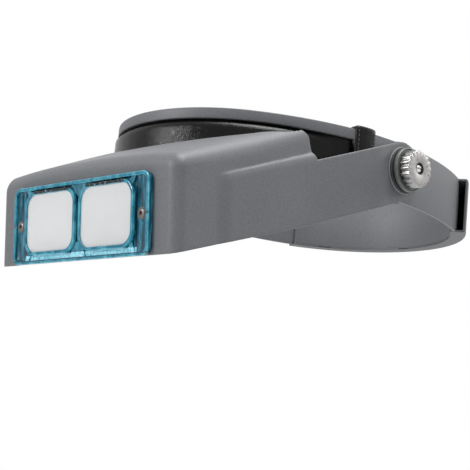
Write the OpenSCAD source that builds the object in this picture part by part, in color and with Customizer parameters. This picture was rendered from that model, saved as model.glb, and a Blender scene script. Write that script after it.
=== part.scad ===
/* [Headband] */
// Half width of the band oval, outside, at the temples
band_half_w = 79.3; // [77:0.1:82]
// Outside radius of the band over the forehead
forehead_r = 66; // [62:0.5:70]
// Outside radius of the band between forehead and temple
temple_front_r = 125; // [118:1:135]
// Outside radius of the band between temple and sleeve
temple_rear_r = 190; // [180:1:205]
// How much less than the half width the band's radius is round the back of the head
nape_inset = 8.3; // [5.5:0.1:10]
// Thickness of the band
band_t = 2; // [1.6:0.1:2.6]
// Height of the band at the temples and on the rear straps
band_h = 30.6; // [28:0.2:33]
// Height of the narrow strip over the forehead
strip_h = 5.6; // [4.5:0.1:8]
// Height of the tongue in which a rear strap ends, inside the sleeve
tongue_h = 28; // [24:0.2:29]
// Angle round the back at which a tongue ends
strap_tip_a = 77; // [70:1:78]
// Clearance round the knuckle where the band flexes behind each temple
flex_gap = 0.08; // [0.04:0.01:0.1]

/* [Sweatband] */
// Thickness of the padded leather
leather_t = 2.4; // [1.6:0.1:3]
// Height of the leather strip
leather_h = 31.6; // [28:0.2:34]
// Thickness of the leather in the end loops
loop_t = 1.2; // [0.8:0.1:1.5]
// Width of an end loop along the band
loop_w = 12.4; // [9:0.2:14]
// Distance of the end loops ahead of the pivot axis
loop_y = 25; // [23:0.5:32]

/* [Pivots] */
// Radius of the pivot bolt
bolt_r = 2; // [1.5:0.1:2.5]
// Running clearance round the bolt
bolt_fit = 0.08; // [0.04:0.01:0.1]
// Radius of the bolt's low head inside the band
bolt_head_r = 6.5; // [5:0.1:8]
// Thickness of the bolt's head
bolt_head_t = 1.6; // [1:0.1:2]
// Thickness of the rubber friction washer between band and arm
friction_t = 1.4; // [1:0.1:2]
// Radius of the rubber friction washer
friction_r = 15.4; // [12:0.1:15.6]
// Radius of the flat disc on the arm
disc_r = 12.3; // [11.8:0.1:13]
// Thickness of the flat disc on the arm
disc_t = 0.9; // [0.6:0.1:1.4]
// Radius of the thin rubber ring
ring_r = 11.2; // [10.8:0.1:11.8]
// Thickness of the thin rubber ring
ring_t = 0.8; // [0.5:0.1:1.2]
// Radius of the thick cup washer
cup_r = 11.5; // [10.5:0.1:12]
// Thickness of the cup washer
cup_t = 3; // [2.4:0.1:4]
// Radius of the thumb nut over its flutes
nut_r = 9.65; // [8.5:0.05:10.5]
// Thickness of the thumb nut
nut_t = 6; // [5:0.1:8]
// Number of flutes round the thumb nut
nut_flutes = 18; // [14:1:22]

/* [Visor] */
// Angle by which the visor hangs below the band at rest
visor_drop = 9.7; // [0:0.1:20]
// Wall thickness of the visor
wall = 2.2; // [1.8:0.1:2.6]
// Half width of the hood at its front face
hood_front_w = 65.5; // [64:0.5:67]
// Distance from the pivot axis forward to the front face
hood_reach = 144; // [140:0.5:150]
// Distance from the pivot axis forward to the rear edge of the hood sides
hood_rear = 62; // [58:0.5:68]
// How far the hood's rear corners stand inside the band's half width
hood_inset = 6.2; // [5.8:0.1:7.5]
// Height of the hood top above the pivot line at the front
hood_front_z = 3.6; // [2:0.1:6]
// Rise of the hood top for each millimetre towards the rear
hood_rise = 0.25; // [0.22:0.005:0.27]
// Depth of the curved cut that clears the forehead
brow_cut = 46; // [45:0.5:50]
// Half height of an arm and radius of its round end
arm_r = 15; // [15:0.1:16]
// Downward slope of the arms
arm_slope = 12.5; // [11:0.1:14]
// How far the arm panels stand out from the hood at its rear edge
arm_step = 2.2; // [1.6:0.1:2.4]
// How far the arm panels stand out from the hood at their front ends
panel_step = 1.4; // [1:0.1:1.8]

/* [Lens frame] */
// Width of the lens frame
frame_w = 103.4; // [100:0.2:106]
// Height of the lens frame
frame_h = 38.6; // [37:0.2:40]
// Depth of the lens frame in front of the visor face
frame_proud = 3; // [2.5:0.1:4]
// Backward lean of the lens frame against the visor
frame_lean = 3.3; // [0:0.1:6]
// Height of the lens frame centre below the pivot line
frame_drop = 24.5; // [23:0.1:26]
// Width of the lens frame between its end and a window
frame_end = 11.7; // [11:0.1:14]
// Mean height of the lens frame above and below a window
frame_bar = 5; // [4.6:0.1:6]
// How far the windows sit above the middle of the lens frame
window_rise = 0.8; // [0:0.1:1]
// Width of the web between the two lenses
web_w = 6; // [5.5:0.1:8]
// Ledge on which each lens rests, all round its window
lens_ledge = 1; // [0.6:0.1:1.2]
// Edge thickness of a lens
lens_edge_t = 2; // [1.6:0.1:2.6]
// Height of the lens faces' crown
lens_crown = 0.9; // [0.4:0.1:1.2]
// Distance of a frame screw from the lens frame's end
screw_inset = 5.5; // [5:0.1:6]
// Radius of the frame screws
screw_r = 1.25; // [1:0.05:1.5]

/* [Rear adjuster] */
// Gap between strap and outer wall in the sleeve
sleeve_gap = 4; // [3.4:0.1:4.6]
// Clearance between strap and inner wall of the sleeve
strap_fit = 0.4; // [0.3:0.05:0.6]
// Clearance above and below a tongue in the sleeve
tongue_fit = 0.3; // [0.2:0.05:0.5]
// Wall thickness of the sleeve
sleeve_wall = 1.2; // [1:0.1:1.6]
// Angle round the back at which the sleeve's mouths lie
mouth_a = 28; // [26:0.5:32]
// Width of the release button
button_w = 15; // [12:0.5:16]
// Height of the release button
button_h = 10; // [8:0.5:14]
// Travel of the release button
button_travel = 1.5; // [1:0.1:1.5]

/* [Hidden] */
$fn = 64;
eps = 0.01;
grey = "#6e7072";
dark_grey = "#4b4f50";
black = "#1c1c1d";
nickel = "#b9b9b6";
blue = "#3f9fc4";

// Oval of the band: three tangent arcs a side, joined where their headings agree
front_a = acos((temple_front_r - band_half_w) / (temple_front_r - forehead_r));
nape_r = band_half_w - nape_inset;
rear_a = acos((temple_rear_r - band_half_w) / (temple_rear_r - nape_r));
front_cx = band_half_w - temple_front_r;
rear_cx = band_half_w - temple_rear_r;
forehead_cy = -(temple_front_r - forehead_r) * sin(front_a);
nape_cy = (temple_rear_r - nape_r) * sin(rear_a);
// The band flexes level with the centre of the nape arc
flex_a = asin(nape_cy / (temple_rear_r - band_t / 2));
flex_x = rear_cx + (temple_rear_r - band_t / 2) * cos(flex_a);
knuckle_r = band_t / 2 - 0.02;
// Each strap's shoulder stops this far round ahead of the sleeve's mouth
shoulder_gap_a = 0.25;
// The band's end stays this far ahead of the flexing axis
flex_relief = 0.5;
flex_relief_a = flex_relief / temple_rear_r * 180 / PI;
band_edge = 0.5;
// Where the band's height grows from the narrow strip to the full height
shoulder_front_y = -31;
shoulder_rear_y = -16;

// Sweatband and its end loops
leather_gap = 0.3;
leather_edge = 0.3;
leather_crown = 0.6;
loop_edge = 0.8;
loop_half_a = loop_w / 2 / temple_front_r * 180 / PI;
loop_mid_a = asin(loop_y / temple_front_r);

// Places along the pivot axis, from the band outwards
stack_gap = 0.05;
arm_in_x = band_half_w + friction_t + 2 * stack_gap;
arm_out_x = arm_in_x + wall;
disc_out_x = arm_out_x + disc_t;
ring_out_x = disc_out_x + ring_t;
cup_out_x = ring_out_x + cup_t;
nut_in_x = cup_out_x + stack_gap;
nut_out_x = nut_in_x + nut_t;
neck_w = 2 * bolt_r + 0.4;

// Sides of the hood, from its front face to its rear edge
hood_depth = hood_reach - hood_rear;
hood_rear_w = band_half_w - hood_inset;
hood_flare = (hood_rear_w - hood_front_w) / hood_depth;

// Plan of the arms: straight over the washer, bent inwards to meet the hood, then along its side
arm_bend = 3;
arm_flat = friction_r + arm_bend + 0.2;
arm_slant = (arm_out_x - hood_rear_w - arm_step) / (hood_rear - arm_flat);
panel_reach = 50;
panel_front = hood_rear + panel_reach;
panel_slant = hood_flare + (arm_step - panel_step) / panel_reach;
panel_bend = 8;
panel_fade = 9;
hood_belly = 0.6;
crown_front = 3.5;
crown_gain = 2;
crown_power = 2.5;
corner_front_r = 4.5;
corner_gain = 3;
front_round = 4;
inner_round = 3;
brow_margin = 0.4;
ledge_h = 3;
rear_round = 8;
arm_top_y = -arm_r * sin(arm_slope);
arm_top_z = arm_r * cos(arm_slope);
bottom_front_z = frame_bottom_z();

// Lens frame, in its own axes: x across, z up, y backwards from the front rim
rim_t = 1.7;
frame_corner = 4.5;
floor_t = 1.3;
collar_t = 1.6;
collar_y = -0.6;
spigot_t = 2.9;
spigot_fit = 0.3;
window_corner = 6.5;
window_w = (frame_w - web_w) / 2 - frame_end;
window_h = frame_h - 2 * frame_bar;
screw_x = frame_w / 2 - screw_inset;
lens_x = (web_w + window_w) / 2;
lens_fit = 0.12;
lens_w = window_w + 2 * lens_ledge;
lens_h = window_h + 2 * lens_ledge;
seat_y = collar_y + 0.8;
spigot_w = 2 * lens_x + lens_w + 2 * lens_fit + 2;
spigot_h = lens_h + 2 * lens_fit + 2.4;
screw_fit = 0.15;
screw_head_r = 2.2;
screw_head_t = 1.1;
screw_washer_r = 3;
screw_washer_t = 0.4;
screw_nut_r = 2.6;
screw_nut_t = 1.8;
// A low boss on the tray's floor carries each screw's washer
boss_t = 0.3;
screw_seat_y = frame_proud - floor_t - boss_t;
face_t = 2.4;
// The tray rests on the visor's face with this much air
frame_gap = 0.02;
rim_front_y = -hood_reach - (frame_proud + frame_gap) / cos(frame_lean);

// Radii of the sleeve round the nape centre
strap_in_r = nape_r - band_t;
cover_out_r = strap_in_r - strap_fit;
sleeve_in_r = cover_out_r - sleeve_wall;
chamber_r = nape_r + sleeve_gap;
sleeve_out_r = chamber_r + sleeve_wall;
chamber_h = tongue_h + 2 * tongue_fit;
sleeve_h = chamber_h + 2 * sleeve_wall;
sleeve_round = 1.3;
cover_fit = 0.1;
snap_w = 7;
snap_h = 0.7;
flange_w = button_w + 4;
flange_h = button_h + 4;
flange_t = 1.2;
button_fit = 0.2;
button_proud = button_travel + 0.1;
button_in_r = chamber_r - 0.05 - flange_t;
button_out_r = sleeve_out_r + button_proud;
leaf_t = 0.6;
leaf_h = 16;
leaf_a = 27;
pad_w_a = 1.6;
pad_gap = 0.5;
groove_pitch_a = 2.4;
groove_count = 8;
groove_depth = 0.4;
groove_w = 1;
groove_margin = 4;
spring_r = 2.2;
spring_wire = 0.5;
spring_turns = 6;

// Half width of the hood at a distance y behind its front face
function hood_w(y) = hood_front_w + hood_flare * y;
// Height of the middle of the hood top at a distance y behind the front face
function hood_z(y) = hood_front_z + hood_rise * y
    + hood_belly * sin(180 * min(1, y / hood_depth));
// Drop of the hood top from its middle to its sides
function crown(y) = crown_front + crown_gain * y / hood_depth;
function corner_r(y) = corner_front_r + corner_gain * y / hood_depth;
// Lower edge of the lens frame, which the visor's lower edge meets
function frame_bottom_z() = -frame_drop - frame_h / 2 * cos(frame_lean);
// Length beyond a bend that is rounded over a reach to either side
function past_bend(d, bend, reach) = max(0, d - bend)
    + pow(max(0, reach - abs(d - bend)), 2) / (4 * reach);
// Outer face of the arm at the distance d ahead of the pivot axis
function arm_x(d) = arm_out_x - arm_slant * past_bend(d, arm_flat, arm_bend)
    + (arm_slant - panel_slant) * past_bend(d, hood_rear, panel_bend);
// Top edge of the arm at the distance d ahead of the pivot axis
function arm_top(d) = arm_top_z - tan(arm_slope) * (d + arm_top_y);
function arc_points(cx, cy, r, a0, a1, n) =
    [for (i = [0:n]) let (a = a0 + (a1 - a0) * i / n) [cx + r * cos(a), cy + r * sin(a)]];
function rounded(w, h, r) = concat(
    arc_points(w / 2 - r, h / 2 - r, r, 0, 90, 6),
    arc_points(r - w / 2, h / 2 - r, r, 90, 180, 6),
    arc_points(r - w / 2, r - h / 2, r, 180, 270, 6),
    arc_points(w / 2 - r, r - h / 2, r, 270, 360, 6));

// Stretches of the oval's left half as [centre x, centre y, radius, angle], n steps an arc;
// an arc that carries on from another leaves out its first stop
function arc_stops(cx, cy, r, a0, a1, n, first = 1) =
    [for (i = [first:n]) [cx, cy, r, a0 + (a1 - a0) * i / n]];
function forehead_stops() = arc_stops(0, forehead_cy, forehead_r, -front_a, -90, 12);
function mirror_stops(stops) = [for (i = [len(stops) - 2:-1:0]) let (s = stops[i])
    [-s[0], s[1], s[2], 180 - s[3]]];
function full_stops(half) = concat(half, mirror_stops(half));

// Sweeps a section, as [depth inwards from the outside, z], along stops of the oval
module band_sweep(stops, section) {
    m = len(section);
    k = len(stops);
    points = [for (s = stops, p = section)
        [s[0] + (s[2] - p[0]) * cos(s[3]), s[1] + (s[2] - p[0]) * sin(s[3]), p[1]]];
    sides = [for (j = [0:k - 2], i = [0:m - 1]) let (a = j * m + i, b = j * m + (i + 1) % m)
        [a, b, b + m, a + m]];
    polyhedron(points, concat([[for (i = [m - 1:-1:0]) i]], sides,
        [[for (i = [0:m - 1]) (k - 1) * m + i]]));
}

// Left one as drawn, right one mirrored
module on_side(side) {
    if (side == "left")
        children();
    else
        mirror([1, 0, 0])
            children();
}

// A ring round the pivot axis between two places along it
module pivot_ring(x0, x1, r, bore) {
    translate([x0, 0, 0])
        rotate([0, 90, 0])
            difference() {
                cylinder(r = r, h = x1 - x0);
                translate([0, 0, -1])
                    cylinder(r = bore, h = x1 - x0 + 2);
            }
}

// Side view that takes the band down to the narrow strip ahead of the temples
module strip_cut() {
    z_low = band_h / 2 - strip_h;
    n = 10;
    curve = [for (i = [0:n]) let (t = i / n)
        [shoulder_front_y + (shoulder_rear_y - shoulder_front_y) * (1 - cos(180 * t)) / 2,
            z_low - (z_low + band_h / 2 + 1) * t]];
    rotate([90, 0, 90])
        linear_extrude(height = 3 * band_half_w, center = true)
            polygon(concat([[-2 * forehead_r, z_low]], curve,
                [[-2 * forehead_r, -band_h / 2 - 1]]));
}

// Section of the band with its four edges broken
function band_section(e) = [[e, -band_h / 2], [band_t - e, -band_h / 2], [band_t, e - band_h / 2],
    [band_t, band_h / 2 - e], [band_t - e, band_h / 2], [e, band_h / 2], [0, band_h / 2 - e],
    [0, e - band_h / 2]];

module headband() {
    half = concat(
        arc_stops(rear_cx, 0, temple_rear_r, flex_a - flex_relief_a, 0, 6, 0),
        arc_stops(front_cx, 0, temple_front_r, 0, -front_a, 12),
        forehead_stops());
    color(grey) difference() {
        band_sweep(full_stops(half), band_section(band_edge));
        strip_cut();
        for (side = ["left", "right"]) on_side(side) {
            translate([band_half_w, 0, 0])
                cube([4 * band_t, neck_w + 0.2, neck_w + 0.2], center = true);
            // Flat seat for the bolt's head
            translate([band_half_w - 3 * band_t, 0, 0])
                rotate([0, 90, 0])
                    cylinder(r = bolt_head_r + 0.3, h = 2 * band_t);
            knuckle(knuckle_r + flex_gap, 2 * band_h);
        }
    }
}

// Round end of a strap, on the axis about which the band flexes
module knuckle(r, h) {
    translate([flex_x, nape_cy, 0])
        cylinder(r = r, h = h, center = true);
}

// Free end of the band, from the flexing place to its tip inside the sleeve
module rear_strap(side) {
    stops = concat(
        arc_stops(0, nape_cy, nape_r, strap_tip_a, rear_a, 16, 0),
        arc_stops(rear_cx, 0, temple_rear_r, rear_a, flex_a, 5));
    color(grey) on_side(side) difference() {
        union() {
            band_sweep(stops, band_section(band_edge));
            knuckle(knuckle_r, band_h - 2 * band_edge);
        }
        translate([0, nape_cy, 0])
            for (i = [1:groove_count])
                rotate([0, 0, strap_tip_a - i * groove_pitch_a])
                    translate([nape_r, 0, 0])
                        cube([2 * groove_depth, groove_w, tongue_h - 2 * groove_margin], center = true);
        round_nape(mouth_a - shoulder_gap_a, 90)
            for (z = [tongue_h / 2, -tongue_h / 2 - band_h])
                translate([nape_r - 2 * band_t, z])
                    square([3 * band_t, band_h]);
    }
}

// Leather strip inside the band, crowned towards the head
module sweatband() {
    inset = band_t + leather_gap;
    // The strip runs on past each loop by this angle, towards the pivot
    tail_a = 0.8;
    end_a = loop_mid_a - loop_half_a - tail_a;
    h = leather_h / 2;
    e = leather_edge;
    flat = leather_t * (1 - leather_crown);
    crown = [for (i = [0:6]) let (z = 1 - i / 3)
        [inset + flat + leather_t * leather_crown * sqrt(1 - pow(abs(z), 3)), z * (h - e)]];
    section = concat([[inset + e, -h], [inset + flat - e, -h]],
        [for (i = [6:-1:0]) crown[i]],
        [[inset + flat - e, h], [inset + e, h], [inset, h - e], [inset, e - h]]);
    half = concat(arc_stops(front_cx, 0, temple_front_r, -end_a, -front_a, 12, 0),
        forehead_stops());
    color(black) band_sweep(full_stops(half), section);
}

// Leather loop that holds an end of the sweatband to the band
module sweatband_loop(side) {
    out_r = temple_front_r + leather_gap;
    in_r = temple_front_r - band_t - 2 * leather_gap - leather_t;
    half_h = leather_h / 2 + leather_gap;
    far_r = out_r + loop_t;
    near_r = in_r - loop_t;
    far_h = half_h + loop_t;
    e = loop_edge;
    color(black) on_side(side)
        translate([front_cx, 0, 0])
            rotate([0, 0, -loop_mid_a - loop_half_a])
                rotate_extrude(angle = 2 * loop_half_a, $fn = 180)
                    difference() {
                        polygon([[near_r, e - far_h], [near_r + e, -far_h], [far_r - e, -far_h],
                            [far_r, e - far_h], [far_r, far_h - e], [far_r - e, far_h],
                            [near_r + e, far_h], [near_r, far_h - e]]);
                        translate([in_r, -half_h])
                            square([out_r - in_r, 2 * half_h]);
                    }
}

// Bolt with a low round head inside the band and a square neck in its wall
module pivot_bolt(side) {
    head_x = band_half_w - band_t - stack_gap;
    end_x = nut_out_x - 0.4;
    color(nickel) on_side(side) {
        translate([head_x - bolt_head_t, 0, 0])
            rotate([0, 90, 0])
                cylinder(r1 = bolt_head_r - 1, r2 = bolt_head_r, h = bolt_head_t);
        translate([head_x - eps, -neck_w / 2, -neck_w / 2])
            cube([band_t, neck_w, neck_w]);
        translate([head_x, 0, 0])
            rotate([0, 90, 0])
                difference() {
                    union() {
                        cylinder(r = bolt_r, h = end_x - head_x - 0.5);
                        translate([0, 0, end_x - head_x - 0.5])
                            cylinder(r1 = bolt_r, r2 = bolt_r - 0.5, h = 0.5);
                    }
                    translate([0, 0, end_x - head_x])
                        cube([0.8, 3 * bolt_r, 1.6], center = true);
                }
    }
}

module friction_washer(side) {
    color(black) on_side(side)
        pivot_ring(band_half_w + stack_gap, band_half_w + stack_gap + friction_t, friction_r,
            neck_w * 0.75);
}

module pivot_disc(side) {
    color(grey) on_side(side)
        pivot_ring(arm_out_x, disc_out_x, disc_r, bolt_r + bolt_fit);
}

module rubber_ring(side) {
    color(black) on_side(side)
        pivot_ring(disc_out_x, ring_out_x, ring_r, bolt_r + bolt_fit);
}

// Thick washer with a rounded outer edge and a shallow dish for the nut
module cup_washer(side) {
    bore = bolt_r + bolt_fit;
    round_r = 0.9;
    rim = arc_points(cup_t - round_r, cup_r - round_r, round_r, 90, 0, 5);
    color(dark_grey) on_side(side)
        translate([ring_out_x, 0, 0])
            rotate([0, 90, 0])
                rotate_extrude($fn = 96)
                    polygon(concat([[bore, 0], [cup_r, 0]],
                        [for (p = rim) [p[1], p[0]]],
                        [[bore, cup_t]]));
}

// Round nut with scalloped grip, a chamfered face and a dimple round the bolt's end
module thumb_nut(side) {
    flute_r = 1.3;
    flute_depth = 0.65;
    chamfer = 0.6;
    dimple_r = bolt_r + 0.5;
    dimple_depth = 0.8;
    color(nickel) on_side(side)
        translate([nut_in_x, 0, 0])
            rotate([0, 90, 0])
                difference() {
                    union() {
                        cylinder(r1 = nut_r - chamfer, r2 = nut_r, h = chamfer);
                        translate([0, 0, chamfer])
                            cylinder(r = nut_r, h = nut_t - 2 * chamfer);
                        translate([0, 0, nut_t - chamfer])
                            cylinder(r1 = nut_r, r2 = nut_r - chamfer, h = chamfer);
                    }
                    translate([0, 0, -1])
                        cylinder(r = bolt_r + bolt_fit, h = nut_t + 2);
                    translate([0, 0, nut_t - dimple_depth])
                        cylinder(r = dimple_r, h = 2 * dimple_depth);
                    for (i = [0:nut_flutes - 1])
                        rotate([0, 0, i * 360 / nut_flutes])
                            translate([nut_r + flute_r - flute_depth, 0, -1])
                                cylinder(r = flute_r, h = nut_t + 2, $fn = 20);
                }
}

// Outline of the hood seen from the front, offset inwards by t
function hood_outline(y, t, low) =
    let (w = hood_w(y) - t, zc = hood_z(y) - t, c = crown(y), r = max(1, corner_r(y) - t))
    let (u = w - r, zs = zc - c * pow(u / w, crown_power),
        a = atan(crown_power * c / w * pow(u / w, crown_power - 1)))
    let (corner = arc_points(u - r * sin(a), zs - r * cos(a), r, 0, 90 - a, 5))
    let (reach = corner[0][0])
    let (side = [for (p = corner) [p[0] * w / reach, p[1]]])
    let (top = [for (i = [4:-1:-4]) let (x = side[5][0] * i / 5)
        [x, zc - c * pow(abs(x) / w, crown_power)]])
    concat([[w, low]], side, top, [for (i = [5:-1:0]) [-side[i][0], side[i][1]]], [[-w, low]]);

// Solid hood, lofted from outlines; its first outlines round the front edges
module hood_solid(t, front, back, low, round_r) {
    n = 5;
    ring_y = concat([for (i = [0:n]) front + round_r * (1 - cos(90 * i / n))],
        [for (i = [1:5]) front + round_r + (back - front - round_r) * i / 5]);
    ring_in = concat([for (i = [0:n]) round_r * (1 - sin(90 * i / n))], [for (i = [1:5]) 0]);
    rings = [for (i = [0:len(ring_y) - 1])
        let (y = ring_y[i], lean = tan(frame_lean) * (1 - i / (len(ring_y) - 1)))
        [for (p = hood_outline(y, t + ring_in[i], low))
            [p[0], y - hood_reach + lean * (p[1] + frame_drop), p[1]]]];
    m = len(rings[0]);
    k = len(rings);
    points = [for (r = rings) each r];
    sides = [for (j = [0:k - 2], i = [0:m - 1]) let (a = j * m + i, b = j * m + (i + 1) % m)
        each [[a, b, a + m], [b, b + m, a + m]]];
    polyhedron(points, concat([[for (i = [m - 1:-1:0]) i]], sides,
        [[for (i = [0:m - 1]) (k - 1) * m + i]]));
}

// Side view of everything above the visor's lower edge
module above_lower_edge() {
    // The edge follows the arm back from here, and runs to the lens frame ahead of it
    knee = -hood_rear - wall;
    start = -arm_top_y;
    drop = -arm_top_z;
    knee_z = drop + tan(arm_slope) * (knee - start);
    rotate([90, 0, 90])
        linear_extrude(height = 4 * band_half_w, center = true)
            polygon([[start, drop], [arm_r + 5, drop], [arm_r + 5, 60], [-hood_reach - 20, 60],
                [-hood_reach - 20, bottom_front_z - (knee_z - bottom_front_z) * 20 / (hood_reach + knee)],
                [knee, knee_z]]);
}

// Plan of the brow cut: half an ellipse that clears band and forehead
module brow_clearance() {
    half = hood_rear_w - wall - brow_margin;
    linear_extrude(height = 200, center = true)
        polygon(concat([for (i = [0:24]) let (a = 180 * i / 24)
            [half * cos(a), -hood_rear - brow_cut * sin(a)]],
            [[-half, 0], [half, 0]]));
}

// Side view of what is cut off to round the rear corners of the hood
module corner_clearance() {
    side_z = hood_z(hood_depth) - crown(hood_depth);
    rotate([90, 0, 90])
        linear_extrude(height = 4 * band_half_w, center = true)
            polygon(concat([[1 - hood_rear, side_z - rear_round]],
                arc_points(-hood_rear - rear_round, side_z - rear_round, rear_round, 0, 90, 8),
                [[-hood_rear - rear_round, side_z + rear_round], [1 - hood_rear, side_z + rear_round]]));
}

// One arm: a bent plate, cut to the round-ended side view
module visor_arm() {
    d_end = hood_rear + wall;
    d_cut = d_end + 2 * arm_r;
    d_bend = hood_rear - panel_bend;
    stops = concat([for (i = [0:8]) arm_flat + arm_bend * (i / 4 - 1)],
        [for (i = [0:4]) d_bend + (d_end - d_bend) * i / 4]);
    last = len(stops) - 1;
    outer = [for (d = stops) [arm_x(d), -d]];
    plan = concat([[arm_out_x, arm_r + 2]], outer,
        [for (i = [last:-1:0]) [outer[i][0] - wall, outer[i][1]]],
        [[arm_in_x, arm_r + 2]]);
    intersection() {
        translate([0, 0, -4 * arm_r])
            linear_extrude(height = 8 * arm_r)
                polygon(plan);
        rotate([90, 0, 90])
            linear_extrude(height = 2 * arm_out_x)
                polygon(concat(arc_points(0, 0, arm_r, arm_slope - 90, arm_slope + 90, 36),
                    [[-d_cut, arm_top(d_cut)],
                        [-d_cut, -arm_top_z - tan(arm_slope) * (d_cut - arm_top_y)]]));
    }
}

// Panel that carries the arm forward along the hood side, with a sloped ledge
module arm_panel() {
    // The panel bites this far into the hood's wall and reaches as far behind its rear edge
    root = 0.5;
    back = hood_rear - root;
    low = bottom_front_z - 10;
    bend_end = hood_rear + panel_bend;
    stops = concat([for (i = [0:3]) back + (bend_end - back) * i / 3], [panel_front]);
    // Each ring runs from the panel's foot up its face and down inside the hood's wall
    rings = [for (d = stops) let (inner_d = d < panel_front ? d : d + panel_fade)
        let (inner_x = hood_w(hood_reach - inner_d) - root)
        [[arm_x(d), -d, low], [arm_x(d), -d, arm_top(d) - 0.5],
            [inner_x, -inner_d, arm_top(inner_d) + ledge_h], [inner_x, -inner_d, low]]];
    last = 4 * (len(rings) - 1);
    sides = [for (j = [0:4:last - 4], i = [0:3]) let (a = j + i, b = j + (i + 1) % 4)
        each [[b, a, a + 4], [b + 4, b, a + 4]]];
    polyhedron([for (r = rings) each r], concat([[0, 1, 2], [0, 2, 3]], sides,
        [[last + 2, last + 1, last], [last + 3, last + 2, last]]));
}

// Lens frame axes, placed on the visor
module on_frame() {
    translate([0, rim_front_y, -frame_drop])
        rotate([-frame_lean, 0, 0])
            children();
}

module at_rest() {
    rotate([visor_drop, 0, 0])
        children();
}

// Prism in frame axes between two depths, from an outline of [x, z]
module frame_prism(outline, y0, y1) {
    translate([0, y1, 0])
        rotate([90, 0, 0])
            linear_extrude(height = y1 - y0)
                polygon(outline);
}

module frame_block(w, h, r, y0, y1) {
    frame_prism(rounded(w, h, r), y0, y1);
}

module frame_hole(x, r, y0, y1) {
    translate([x, y1, 0])
        rotate([90, 0, 0])
            cylinder(r = r, h = y1 - y0, $fn = 32);
}

module visor_shell() {
    color(grey) at_rest() difference() {
        union() {
            intersection() {
                difference() {
                    hood_solid(0, 0, hood_depth, bottom_front_z - 10, front_round);
                    hood_solid(wall, face_t, hood_depth + 30, bottom_front_z - 40, inner_round);
                    brow_clearance();
                    corner_clearance();
                }
                above_lower_edge();
            }
            for (side = ["left", "right"]) on_side(side) {
                visor_arm();
                intersection() {
                    arm_panel();
                    above_lower_edge();
                }
            }
        }
        on_frame() {
            translate([0, 0, window_rise])
                frame_block(spigot_w + 2 * spigot_fit, spigot_h + 2 * spigot_fit, 4, -2,
                    frame_proud + face_t + 8);
            for (side = [-1, 1])
                frame_hole(side * screw_x, screw_r + screw_fit, 0, frame_proud + face_t + 5);
        }
        for (side = ["left", "right"]) on_side(side)
            translate([arm_in_x - 1, 0, 0])
                rotate([0, 90, 0])
                    cylinder(r = bolt_r + bolt_fit, h = wall + 2);
    }
}

// Clear tray: flange with raised rim, a collar round each window, a spigot behind
module lens_frame() {
    floor_y = frame_proud - floor_t;
    rib_y = floor_y - 0.8;
    top_z = frame_h / 2 - rim_t + 0.1;
    web_half = web_w / 2;
    corner_x = lens_x + window_w / 2;
    // Outlines of the ribs that run from the rim to a window whose edge lies at z
    function gusset(z) = [[web_half + 3, top_z], [web_half + 1.2, z + 0.4], [1.3, z - 3.2],
        [-1.3, z - 3.2], [-web_half - 1.2, z + 0.4], [-web_half - 3, top_z]];
    function stay(z) = [[corner_x - 0.5, top_z], [corner_x + 2, top_z], [corner_x - 0.3, z - 1.6],
        [corner_x - 3.2, z + 0.6]];
    color(blue, 0.7) at_rest() on_frame() difference() {
        union() {
            difference() {
                frame_block(frame_w, frame_h, frame_corner, 0, frame_proud);
                frame_block(frame_w - 2 * rim_t, frame_h - 2 * rim_t, frame_corner - rim_t, -1, floor_y);
            }
            translate([0, 0, window_rise])
                frame_block(spigot_w, spigot_h, 3.5, frame_proud - eps, frame_proud + spigot_t);
            for (side = [-1, 1]) {
                edge_z = window_h / 2 + side * window_rise;
                translate([side * lens_x, 0, window_rise])
                    frame_block(window_w + 2 * collar_t, window_h + 2 * collar_t,
                        window_corner + collar_t, collar_y, floor_y + eps);
                scale([1, 1, side]) {
                    frame_prism(gusset(edge_z), rib_y, floor_y + eps);
                    frame_prism(stay(edge_z), rib_y, floor_y + eps);
                    mirror([1, 0, 0])
                        frame_prism(stay(edge_z), rib_y, floor_y + eps);
                }
                frame_hole(side * screw_x, screw_washer_r + 0.5, screw_seat_y, floor_y + eps);
            }
        }
        for (side = [-1, 1]) {
            translate([side * lens_x, 0, window_rise]) {
                frame_block(window_w, window_h, window_corner, collar_y - 1, seat_y + 1);
                frame_block(lens_w + 2 * lens_fit, lens_h + 2 * lens_fit,
                    window_corner + lens_ledge, seat_y, frame_proud + spigot_t + 1);
            }
            frame_hole(side * screw_x, screw_r + screw_fit, -1, frame_proud + 1);
            translate([side * frame_w / 2, -eps, 0])
                cube([3 * rim_t, 2.4, 1.6], center = true);
        }
    }
}

// Magnifying lens: a flat edge on the ledge, with a crown on both faces
module lens(side) {
    crown_w = window_w - 0.6;
    crown_h = window_h - 0.6;
    half = sqrt(pow(crown_w / 2, 2) + pow(crown_h / 2, 2));
    ball_r = (half * half + lens_crown * lens_crown) / (2 * lens_crown);
    y0 = seat_y + stack_gap;
    color("#e8f2f4", 0.5) on_side(side) at_rest() on_frame() translate([lens_x, 0, window_rise]) {
        frame_block(lens_w, lens_h, window_corner + lens_ledge - 0.1, y0, y0 + lens_edge_t);
        for (face = [-1, 1])
            intersection() {
                frame_block(crown_w, crown_h, window_corner, y0 - 2 * lens_crown,
                    y0 + lens_edge_t + 2 * lens_crown);
                translate([0, y0 + lens_edge_t / 2
                    - face * (ball_r - lens_crown - lens_edge_t / 2), 0])
                    rotate([90, 0, 0])
                        sphere(r = ball_r, $fn = 360);
                translate([0, y0 + lens_edge_t / 2 + face * (lens_edge_t / 4 + lens_crown), 0])
                    cube([lens_w, lens_edge_t / 2 + 2 * lens_crown, lens_h], center = true);
            }
    }
}

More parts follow.
